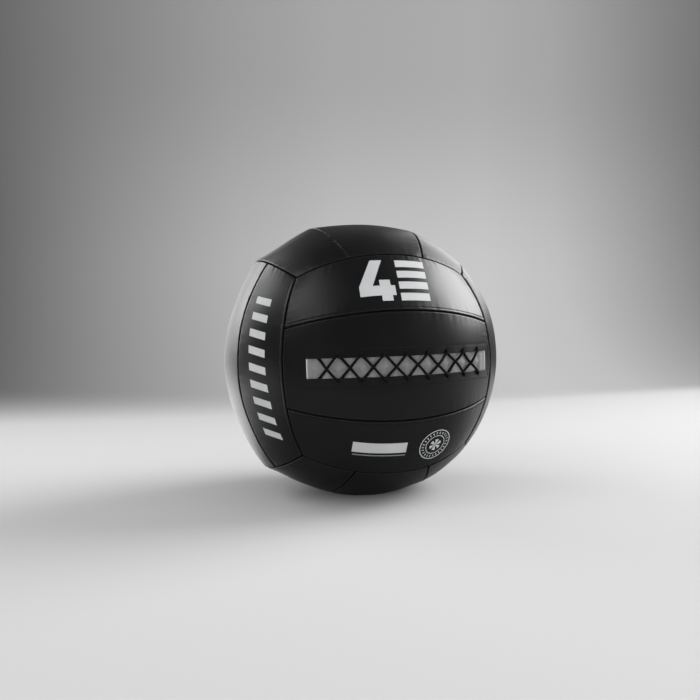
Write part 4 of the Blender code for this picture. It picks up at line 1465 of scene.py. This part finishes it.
def lace_strand(side, bump):
    """A strand from the left end to the right: a leg and a turn at each pair of holes, then its tail."""
    parts = [lace_turn(HOLE_ANGLES[0], side)[-1:]]
    for start, end in zip(HOLE_ANGLES[:-1], HOLE_ANGLES[1:]):
        parts.append(lace_leg(start, end, side, bump))
        side = -side
        parts.append(lace_turn(end, side))
    tail = HOLE_ANGLES[-1] + np.array([0.5, 1.0]) * TAIL_LENGTH / BALL_RADIUS
    height = side * (HOLE_HEIGHT - WHIP_RADIUS)
    parts.append(np.stack([tail, np.full(2, height), np.full(2, LACE_UNDER)], axis=1))
    return np.concatenate(parts)


def lace_route():
    """One strand backwards, the loop behind the left end, and the other strand.

    The loop is half a squared ellipse: each share of its half axes is the square root of the cosine or
    sine of the turn, so it stays under the lips until it has passed the slot's end.
    """
    turn = np.linspace(math.pi / 2, 3 * math.pi / 2, LOOP_POINTS)[1:-1]
    outwards = -np.sqrt(np.abs(np.cos(turn)))
    upwards = np.sign(np.sin(turn)) * np.sqrt(np.abs(np.sin(turn)))
    loop = np.stack([HOLE_ANGLES[0] + LOOP_REACH * outwards, (HOLE_HEIGHT - WHIP_RADIUS) * upwards,
                     np.full(len(turn), LACE_UNDER)], axis=1)
    return np.concatenate([lace_strand(1, LACE_BUMP)[::-1], loop, lace_strand(-1, -LACE_BUMP)])


route = lace_route()
print("route of the lace:", len(route), "points")

# %% [markdown]
# The braid is real relief: two sets of ridges that run round the cord in opposite ways. They need a
# path without kinks and a steady way across it, or the ridges would twist where the lace turns.

# %% Braid the lace along it
LACE_STEP, LACE_SIDES = 0.00048, 14
SMOOTH_REACH = 4
BRAID_PITCH = 0.0052
BRAID_LEAST, BRAID_SWELL = 1.06, 0.14


def smooth_path(points, step):
    """Points an even step apart on the polyline, each averaged with its near neighbours."""
    steps = path_steps(points)
    fine = path_places(points, steps, np.linspace(0, steps[-1], int(steps[-1] / step)))
    padded = np.concatenate([fine[:1].repeat(SMOOTH_REACH, 0), fine, fine[-1:].repeat(SMOOTH_REACH, 0)])
    window = np.hanning(2 * SMOOTH_REACH + 3)[1:-1]
    kept = [np.convolve(padded[:, k], window / window.sum(), "valid") for k in range(3)]
    return np.stack(kept, axis=1), steps[-1]


def steady_ways(path):
    """A way across the cord at each point that turns as little as it can, carried along the path."""
    tangent = unit(np.gradient(path, axis=0))
    ways = np.empty_like(path)
    way = unit(np.cross(tangent[0], (0.0, 0.0, 1.0)))
    for i, along in enumerate(tangent):
        way = unit(way - along * (way @ along))
        ways[i] = way
    return ways


def braided_lace():
    """Radius times a share a little over one, plus small ridges: half of each of two waves that wind
    round the cord in opposite ways."""
    points = front_points(route[:, 0], route[:, 1], route[:, 2])
    path, length = smooth_path(points, LACE_STEP)
    places = np.arange(len(path)) * length / (len(path) - 1)
    turn = np.linspace(0, 2 * np.pi, LACE_SIDES, endpoint=False)
    wind = places[:, None] * (2 * np.pi / BRAID_PITCH)
    ridge = np.abs(np.sin(2 * turn + wind)) * 0.5 + np.abs(np.sin(2 * turn - wind)) * 0.5
    radius = LACE_RADIUS * (BRAID_LEAST + BRAID_SWELL * ridge)
    return tube("braided_lace", path, steady_ways(path), radius, LACE_SIDES, LACE_CORD), length


lace, lace_length = braided_lace()
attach(lace, BODY)
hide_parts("lace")
print("lace:", round(lace_length, 3), "m,", triangles(lace), "triangles")

# %% [markdown]
# ## The tongue
# Behind the slot lies a tongue of grey cloth, sewn to the lips by its facings. It is a thin sheet that
# the filling pushes outwards a little between the crosses of the lace. The sheet follows the ball as
# the lips do. It is held stretched on all sides, so its shape comes from a formula of the lace's
# diamonds and not from a simulation.

# %% The tongue's shape
TONGUE_DEPTH = 2 * (CLEARANCE + LACE_RADIUS) + LEATHER_THICKNESS
TONGUE_THICKNESS = 0.0016
TONGUE_PUFF = 0.0029
PUFF_START, PUFF_END = 0.05, 1.0
FREE_START, FREE_END = 0.0035, 0.0085
RIPPLE_HEIGHT = 0.00015
RIPPLES = ((1.0, 71.0, 190.0, 0.0), (0.6, 143.0, -260.0, 1.0))
BEHIND_START, BEHIND_END = SLOT_HALF + 0.002, SLOT_HALF + 0.006


def tongue_bulge(angles, heights):
    """How far the cloth is pushed out from its flat place.

    Along the slot the legs of the lace draw diamonds. The share is the distance from the nearest leg,
    as a part of a diamond, so the cloth is low under the lace and full between the legs. Past the first
    and last holes it comes up to the lips, and behind the lips it goes back to its seams. Where it is
    low, a sum of two sines wrinkles it a little.
    """
    pitch = HOLE_ANGLES[1] - HOLE_ANGLES[0]
    along = (angles - HOLE_ANGLES[0]) / pitch
    leg = np.abs(2 * (along % 1.0) - 1)
    level = np.minimum(np.abs(heights) / SLOT_HALF, 1.0)
    share = smooth_share(np.abs(level - leg), PUFF_START, PUFF_END)
    beyond = np.maximum(HOLE_ANGLES[0] - angles, angles - HOLE_ANGLES[-1]) * BALL_RADIUS
    share = np.maximum(share, smooth_share(beyond, FREE_START, FREE_END))
    ripple = sum(weight * np.sin(angles * a + heights * b + phase) for weight, a, b, phase in RIPPLES)
    behind_lips = 1 - smooth_share(np.abs(heights), BEHIND_START, BEHIND_END)
    return (TONGUE_PUFF * share + RIPPLE_HEIGHT * ripple * (1 - share)) * behind_lips


def cloth_plate(name, columns, heights, depth, thickness, finish, shape):
    """Closed sheet on the ball: a front layer at a depth under the skin, pushed out by a shape, and a
    back layer behind it."""
    angles, up = np.meshgrid(columns, heights, indexing="ij")
    extra = shape(angles, up)
    front = front_points(angles, up, -depth + extra)
    back = front_points(angles, up, -depth - thickness + extra)
    points = np.concatenate([front.reshape(-1, 3), back.reshape(-1, 3)])
    made, used = mesh_object(name, points, shell_faces(*angles.shape), finish)
    uv = np.stack([angles * BALL_RADIUS, up], axis=-1).reshape(-1, 2)
    add_uv(made, np.concatenate([uv, uv]), used)
    made.data.set_sharp_from_angle(angle=SHARP_ANGLE)
    return made


TONGUE_SET_IN = 0.0001
TONGUE_COLUMNS, TONGUE_ROWS = 260, 72
margin = CLEARANCE / BALL_RADIUS
reach = POCKET_HALF - CLEARANCE
tongue = cloth_plate("tongue_sheet", np.linspace(POCKET_LEFT + margin, POCKET_RIGHT - margin, TONGUE_COLUMNS),
                     np.linspace(-reach, reach, TONGUE_ROWS), TONGUE_DEPTH + TONGUE_SET_IN,
                     TONGUE_THICKNESS - TONGUE_SET_IN, TONGUE_CLOTH, tongue_bulge)
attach(tongue, BODY)
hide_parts("slot_tongue")
print("tongue:", triangles(tongue), "triangles")

# %% [markdown]
# At both ends of the slot the tongue's pale folded hem shows. Each hem is a narrow sheet of its own
# with an arched face, which goes with the tongue.

# %% The hems, and the tongue as a sheet
HEM_HALF, HEM_GAP = 0.0007, 0.0002
HEM_DEPTH, HEM_THICKNESS, HEM_ARCH = 0.0006, 0.0012, 0.0007
HEM_MARGIN = 0.0003
HEM_COLUMNS, HEM_ROWS = 9, 24
HEM_INSET = (HEM_HALF + HEM_GAP) / BALL_RADIUS
HEM_MIDDLES = (SLOT_LEFT + HEM_INSET, SLOT_RIGHT - HEM_INSET)


def hem_round(angles, heights):
    """The fold of the hem: its face falls back with the square of the distance from its middle."""
    nearest = np.minimum(np.abs(angles - HEM_MIDDLES[0]), np.abs(angles - HEM_MIDDLES[1])) * BALL_RADIUS
    return -HEM_ARCH * (nearest / HEM_HALF) ** 2


half = HEM_HALF / BALL_RADIUS
hem_heights = np.linspace(-SLOT_HALF + HEM_MARGIN, SLOT_HALF - HEM_MARGIN, HEM_ROWS)
for name, middle in zip(("tongue_hem_left", "tongue_hem_right"), HEM_MIDDLES):
    hem = cloth_plate(name, np.linspace(middle - half, middle + half, HEM_COLUMNS), hem_heights,
                      HEM_DEPTH, HEM_THICKNESS, HEM_CLOTH, hem_round)
    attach(hem, BODY)

# %% [markdown]
# ## Printed marks
# The ball carries white printed marks: a big number for its weight, a row of marks up the left strip,
# a plain label and a round badge. They are made here as plain figures of my own. A print could be
# painted in the material, but thin films that follow the leather keep their edges sharp in any view.
# Each film is a set of four-sided patches, worked out flat in millimetres and then laid on the skin.

# %% Lay flat patches on the skin
FILM_LIFT = 0.00010
FILM_DEPTH = 0.00035
PATCH_STEP = 2.0
NUDGE = 1e-9


def patch_grid(corners):
    """Grid of a four-sided patch: each point is the corners weighed by the two shares."""
    corners = np.asarray(corners, float)
    lengths = [np.linalg.norm(corners[k] - corners[(k + 1) % 4]) for k in range(4)]
    counts = [max(2, int(max(lengths[k], lengths[k + 2]) / PATCH_STEP) + 2) for k in (0, 1)]
    across = np.linspace(0, 1, counts[0])[:, None, None]
    up = np.linspace(0, 1, counts[1])[None, :, None]
    low = corners[0] * (1 - across) + corners[1] * across
    high = corners[3] * (1 - across) + corners[2] * across
    return low * (1 - up) + high * up


def film(name, grids, place, face, strip):
    """Closed film over each grid of flat points: place turns flat points into directions, and the film
    follows the height of the panel that it is printed on."""
    points, faces, count = [], [], 0
    for flat in grids:
        directions = place(flat)
        height = panel_height(directions, face, strip)
        points += [skin_points(directions, height + lift).reshape(-1, 3) for lift in (FILM_LIFT, -FILM_DEPTH)]
        faces.append(shell_faces(*flat.shape[:2]) + count)
        count += 2 * flat.shape[0] * flat.shape[1]
    made, _ = mesh_object(name, np.concatenate(points), np.concatenate(faces), PRINT_INK)
    face_outwards(made.data)
    made.data.set_sharp_from_angle(angle=SHARP_ANGLE)
    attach(made, BODY)
    return made


def flat_place(face, along, across, turn=0.0):
    """Flat millimetres to directions: turned, then added as angles to the middle of the mark. The place
    of the middle on its face and the turn are in degrees."""
    along, across, turn = (math.radians(angle) for angle in (along, across, turn))
    _, run, side = face_axes(face)
    middle = face_directions(face, np.array(along), np.array(across))
    right = unit(run - middle * (run @ middle))
    up = np.cross(middle, right) * np.sign(np.cross(middle, right) @ side)

    def place(flat):
        x = flat[..., 0] * math.cos(turn) - flat[..., 1] * math.sin(turn)
        y = flat[..., 0] * math.sin(turn) + flat[..., 1] * math.cos(turn)
        away = np.hypot(x, y)[..., None] / (BALL_RADIUS * 1000)
        way = unit(x[..., None] * right + y[..., None] * up + NUDGE * right)
        return middle * np.cos(away) + way * np.sin(away)

    return place


def bar(x0, y0, x1, y1):
    """Corners of an upright rectangle."""
    return [(x0, y0), (x1, y0), (x1, y1), (x0, y1)]


print("print helpers ready, patches in steps of", PATCH_STEP, "mm")

# %% [markdown]
# A gym tells its balls apart by the weight number, so it is the biggest mark. A font could make the
# figure, but a font's outline would have to be cut up before it could follow the round skin. Straight
# patches do that from the start: four make the figure, and four slanted bars of its height go with it.

# %% The number, and four bars beside it
NUMBER_FOUR = [
    bar(-27, -17.5, 14, -4.5),
    [(-27, -4.5), (-11.6, -4.5), (3.7, 31.5), (-9.9, 31.5)],
    bar(-3, -24.5, 9.5, -17.5),
    bar(-3.5, -4.5, 9, 3.2),
]
BARS_AT = np.arange(4) * 15.3 - 24.4
FOUR_BARS = [[(19, y), (55.5, y + 2.5), (55.5, y + 12.3), (19, y + 9.8)] for y in BARS_AT]
number_mark = film("print_number", [patch_grid(corners) for corners in NUMBER_FOUR + FOUR_BARS],
                   flat_place("front", -5.5, 31.9, -2.0), "front", 2)
print("number:", triangles(number_mark), "triangles")

# %% [markdown]
# Up the left strip runs a row of nine slanted bars, one every 20 mm. An Array modifier could repeat one
# bar, but its copies would run off the round skin in a straight line, so each bar is laid by itself.

# %% Slanted marks up the left strip
MARK_STEP = 20
slants = [[(x - 8, -14), (x + 1, -14), (x + 8, 14), (x - 1, 14)] for x in MARK_STEP * np.arange(-4, 5)]
strip_mark = film("print_strip_marks", [patch_grid(corners) for corners in slants],
                  flat_place("left", 0.0, -32.0, 2.4), "left", 0)
print("strip marks:", len(slants), "with", triangles(strip_mark), "triangles")

# %% [markdown]
# Under the slot a pale label with a row of small dashes is printed, and beside it a round badge of two
# rings, ticks between them and six petals. The badge's parts are patches too, bent round its middle.

# %% Label and round badge
DASH_STEP = 2.5
label = [bar(-33.5, -7.6, 30.2, 6.7)]
label += [bar(DASH_STEP * k - 32, -12.0, DASH_STEP * k - 30.6, -10.8) for k in range(25)]
label_mark = film("print_label", [patch_grid(corners) for corners in label],
                  flat_place("front", -8.0, -32.0, -1.0), "front", 0)


def ring_grid(inner, outer, start=0.0, end=2 * math.pi, count=64):
    """Part of a flat ring: radius times the cosine and sine of the turn."""
    turn = np.linspace(start, end, count)[:, None]
    radius = np.array([outer, inner])[None, :]
    return np.stack([radius * np.cos(turn), radius * np.sin(turn)], axis=-1)


TICK_HALF, PETAL_TURN = 0.035, 0.62
badge = [ring_grid(20.0, 21.1), ring_grid(12.3, 13.2)]
badge += [ring_grid(15.1, 18.2, a - TICK_HALF, a + TICK_HALF, 3) for a in np.arange(24) * math.pi / 12]
badge += [ring_grid(0.4, 7.8, a, a + PETAL_TURN, 12) for a in np.arange(6) * math.pi / 3]
badge_mark = film("print_badge", badge, flat_place("front", 17.9, -33.6), "front", 0)
print("label:", triangles(label_mark), "triangles, badge:", triangles(badge_mark))

# %% [markdown]
# ## Floor and backdrop
# The ball stands on a pale studio floor that sweeps up into a grey backdrop. One profile, a level run,
# a quarter circle and an upright run, is carried sideways, so there is no corner for the eye.

# %% The sweep
SWEEP_FRONT, SWEEP_START, SWEEP_RADIUS = -3.5, 0.95, 0.55
SWEEP_WALL_FROM, SWEEP_TOP = 0.8, 2.6
SWEEP_HALF_WIDTH = 4
LEVEL_LINES, CURVE_LINES, WALL_LINES, SIDE_LINES = 12, 25, 4, 5


def sweep():
    """Profile of a floor, a quarter circle and a wall, swept along X."""
    turn = np.linspace(0, math.pi / 2, CURVE_LINES)[1:]
    depth = np.concatenate([
        np.linspace(SWEEP_FRONT, SWEEP_START, LEVEL_LINES),
        SWEEP_START + SWEEP_RADIUS * np.sin(turn),
        np.full(WALL_LINES, SWEEP_START + SWEEP_RADIUS)])
    height = np.concatenate([
        np.zeros(LEVEL_LINES),
        SWEEP_RADIUS * (1 - np.cos(turn)),
        np.linspace(SWEEP_WALL_FROM, SWEEP_TOP, WALL_LINES)])
    width = np.linspace(-SWEEP_HALF_WIDTH, SWEEP_HALF_WIDTH, SIDE_LINES)
    points = np.stack(np.broadcast_arrays(width[:, None], depth, height), axis=-1)
    made, _ = mesh_object("studio_sweep", points.reshape(-1, 3), grid_faces(SIDE_LINES, len(depth)))
    return made


floor = sweep()
print("sweep made,", triangles(floor), "triangles")

# %% [markdown]
# A lamp behind the ball would throw a glow on the backdrop, and white cards out of the picture would
# give the black leather something pale to mirror. Real cards would also light the floor, so here glow
# and cards are painted light, emission of the paper itself: the camera sees only the painted glow, and
# reflections see only the two painted cards. Reflections also see the floor in front of the ball painted
# darker, which is painted shade in the reflection on the ball's underside.

# %% Paper with a glow and two cards
# The second tone is painted shade: the darker floor that only reflections see in front of the ball.
GROUND_TONE, PAINTED_SHADE_TONE, BACKDROP_TONE = (0.54, 0.54, 0.543), (0.14, 0.14, 0.143), (0.08, 0.08, 0.081)
RISE_SLANT, RISE_FROM, RISE_TO = 0.12, 0.91, 1.16
NEAR_SLANT, NEAR_BEND, NEAR_FROM, NEAR_TO = 0.3, 0.2, 0.15, -0.1
GLOW_LEFT, GLOW_RIGHT = -0.8, 2.0
GLOW = [(0.05, 0.02), (0.16, 0.16), (0.30, 0.32), (0.42, 0.41),
        (0.60, 0.45), (0.70, 0.40), (0.86, 0.20), (1.0, 0.04)]
FADE_SHARE, FADE_FROM, FADE_TO = 0.38, 1.05, 0.35
LOW_CARD = [("X", -1.2, -0.8), ("X", 0.3, -0.1), ("Z", 1.0, 0.7), ("Y", 0.0, 0.2)]
HIGH_CARD = [("X", 0.75, 1.0), ("X", 2.6, 2.2), ("Z", 0.4, 0.6), ("Z", 1.9, 1.6)]
LOW_LEVEL, HIGH_LEVEL = 1.2, 2.0


def eased(tree, value, start, end, kind="SMOOTHSTEP"):
    """Map Range node that goes smoothly, or evenly, from 0 at the start to 1 at the end."""
    made = node_of(tree, "ShaderNodeMapRange", interpolation_type=kind)
    made.inputs["From Min"].default_value = start
    made.inputs["From Max"].default_value = end
    tree.links.new(value, made.inputs["Value"])
    return made.outputs["Result"]


def card(tree, at, edges, level):
    """Light of a card: the eased share inside each of its edges times the others, times its level."""
    return times(tree, *[eased(tree, at[axis], start, end) for axis, start, end in edges], level)


def sweep_finish():
    """Pale floor and grey wall. The camera also sees a painted glow on the wall, such as a background lamp
    would throw, and reflections see two painted soft white cards instead: a low one at the left and a high
    one at the right. Reflections also see the floor in front of the ball painted darker, as painted shade."""
    made, tree, shader, place = new_material("studio_paper")
    split = tree.nodes.new("ShaderNodeSeparateXYZ")
    tree.links.new(place, split.inputs[0])
    at = split.outputs
    path = tree.nodes.new("ShaderNodeLightPath").outputs
    slant = plus(tree, at["Y"], times(tree, at["X"], RISE_SLANT))
    up = eased(tree, slant, RISE_FROM, RISE_TO)
    bend = times(tree, maths(tree, "ABSOLUTE", at["X"]), NEAR_BEND)
    before = plus(tree, at["Y"], plus(tree, times(tree, at["X"], NEAR_SLANT), bend))
    # Painted shade: only reflections see the floor in front of the ball darker, which darkens the ball's
    # underside.
    near = times(tree, eased(tree, before, NEAR_FROM, NEAR_TO), path["Is Glossy Ray"])
    ground = mixed(tree, near, GROUND_TONE, PAINTED_SHADE_TONE)
    tree.links.new(mixed(tree, up, ground, BACKDROP_TONE), shader.inputs["Base Color"])
    # Painted light: a glow on the wall for the camera, and two cards for reflections.
    sideways = eased(tree, at["X"], GLOW_LEFT, GLOW_RIGHT, kind="LINEAR")
    glow = ramp(tree, sideways, [(share, (level,) * 3) for share, level in GLOW])
    low = eased(tree, at["Z"], FADE_FROM, FADE_TO)
    fade = maths(tree, "MULTIPLY_ADD", low, FADE_SHARE, 1 - FADE_SHARE)
    seen = times(tree, glow, fade, up, path["Is Camera Ray"])
    cards = plus(tree, card(tree, at, LOW_CARD, LOW_LEVEL), card(tree, at, HIGH_CARD, HIGH_LEVEL))
    mirrored = times(tree, cards, path["Is Glossy Ray"])
    tree.links.new(plus(tree, seen, mirrored), shader.inputs["Emission Color"])
    for name, value in (("Emission Strength", 1.0), ("Roughness", 0.9), ("Specular IOR Level", 0.2)):
        shader.inputs[name].default_value = value
    return made


floor.data.materials.append(sweep_finish())
print("paper made with", len(floor.data.materials[0].node_tree.nodes), "nodes")

# %% [markdown]
# ## Camera
# The camera stands about a metre from the ball, nearly at its height, a little to the left. The lens and
# the place come from fitting the seams' planes to the photograph.

# %% Camera
IMAGE_SIZE = 700
FOCAL_PIXELS = 789.0
CAMERA_DISTANCE = 1.053
BALL_AT = (360.1, 359.9)
AWAY = np.array([0.2760, 0.9600, -0.0491])
RIGHT = np.array([0.9602, -0.2777, -0.0320])

lens = bpy.data.cameras.new("camera")
lens.sensor_width = 36.0
lens.lens = FOCAL_PIXELS / IMAGE_SIZE * lens.sensor_width
lens.shift_x = -(BALL_AT[0] - IMAGE_SIZE / 2) / IMAGE_SIZE
lens.shift_y = (BALL_AT[1] - IMAGE_SIZE / 2) / IMAGE_SIZE
camera = place_object("camera", lens)
away = Vector(AWAY).normalized()
right = (Vector(RIGHT) - away * Vector(RIGHT).dot(away)).normalized()
up = right.cross(away)
turn = Matrix((right, up, -away)).transposed().to_4x4()
camera.matrix_world = Matrix.Translation(Vector(CENTRE) - away * CAMERA_DISTANCE) @ turn
bpy.context.scene.camera = camera
print("lens", round(lens.lens, 1), "mm, camera at", [round(x, 3) for x in camera.location])

# %% [markdown]
# ## Light
# A black satin ball shows its lights more than its colour. A large soft box high at the back right
# makes the broad white sheen on the upper right strips, one at the back left draws the pale left edge,
# and a weak one at the front left lets the black leather keep its form. Each box has a cloth grid, which
# keeps its light off the rest of the studio. Painted reflections of the two cards on the paper add to the
# sheen at the upper right and to the pale left edge.

# %% Soft boxes
DOWN = np.cross(AWAY, RIGHT)
BOX_SPREAD = math.radians(110.0)


def soft_box(name, azimuth, elevation, distance, size, radiance):
    """Rectangular lamp with a grid, which faces the ball.

    Its azimuth is in degrees from straight behind the ball, positive to the camera's right. Its
    brightness is given as the radiance straight ahead: the power is radiance times pi times the area,
    times (tan h - h) / tan h, where h is half the angle that the grid lets the light spread over.
    """
    turn, lift = math.radians(azimuth), math.radians(elevation)
    way = math.cos(lift) * (math.sin(turn) * RIGHT + math.cos(turn) * AWAY) - math.sin(lift) * DOWN
    data = bpy.data.lights.new(name, "AREA")
    data.shape = "RECTANGLE"
    data.size, data.size_y = size
    half = BOX_SPREAD / 2
    data.spread = BOX_SPREAD
    data.energy = radiance * math.pi * size[0] * size[1] * (math.tan(half) - half) / math.tan(half)
    made = place_object(name, data)
    made.location = Vector(CENTRE + distance * way)
    made.rotation_euler = Vector(-way).to_track_quat("-Z", "Y").to_euler()


soft_box("box_back_right", azimuth=72, elevation=33, distance=2.4, size=(1.8, 1.6), radiance=10.0)
soft_box("box_back_left", azimuth=-56, elevation=24, distance=1.7, size=(0.95, 1.2), radiance=4.5)
soft_box("box_front_left", azimuth=-123, elevation=42, distance=2.0, size=(0.9, 0.9), radiance=2.2)

# %% [markdown]
# The pale walls of a studio send light back from all sides, most of it from near the horizon. Black
# flags round the ball keep them out of its reflections, so the same fill is far darker there.

# %% Fill from the room
def studio_world(overhead, horizon, seen_in_gloss):
    """Pale fill, stronger near the horizon: the overhead level plus the horizon's times (1 - height)
    cubed. In reflections it shows darker, like a room with black flags round the ball."""
    world = bpy.data.worlds.new("studio")
    world.use_nodes = True
    tree = world.node_tree
    split = tree.nodes.new("ShaderNodeSeparateXYZ")
    tree.links.new(tree.nodes.new("ShaderNodeTexCoord").outputs["Generated"], split.inputs[0])
    flatness = maths(tree, "SUBTRACT", 1.0, maths(tree, "ABSOLUTE", split.outputs["Z"]))
    fill = maths(tree, "MULTIPLY_ADD", maths(tree, "POWER", flatness, 3.0), horizon, overhead)
    glossy = tree.nodes.new("ShaderNodeLightPath").outputs["Is Glossy Ray"]
    matt = times(tree, fill, maths(tree, "SUBTRACT", 1.0, glossy))
    background = tree.nodes["Background"].inputs
    tree.links.new(plus(tree, matt, times(tree, glossy, seen_in_gloss)), background["Strength"])
    background["Color"].default_value = (1.0, 1.0, 1.0, 1.0)
    bpy.context.scene.world = world


studio_world(overhead=0.55, horizon=3.0, seen_in_gloss=0.06)
bpy.context.scene.view_settings.view_transform = "Standard"
print("world:", bpy.context.scene.world.name)
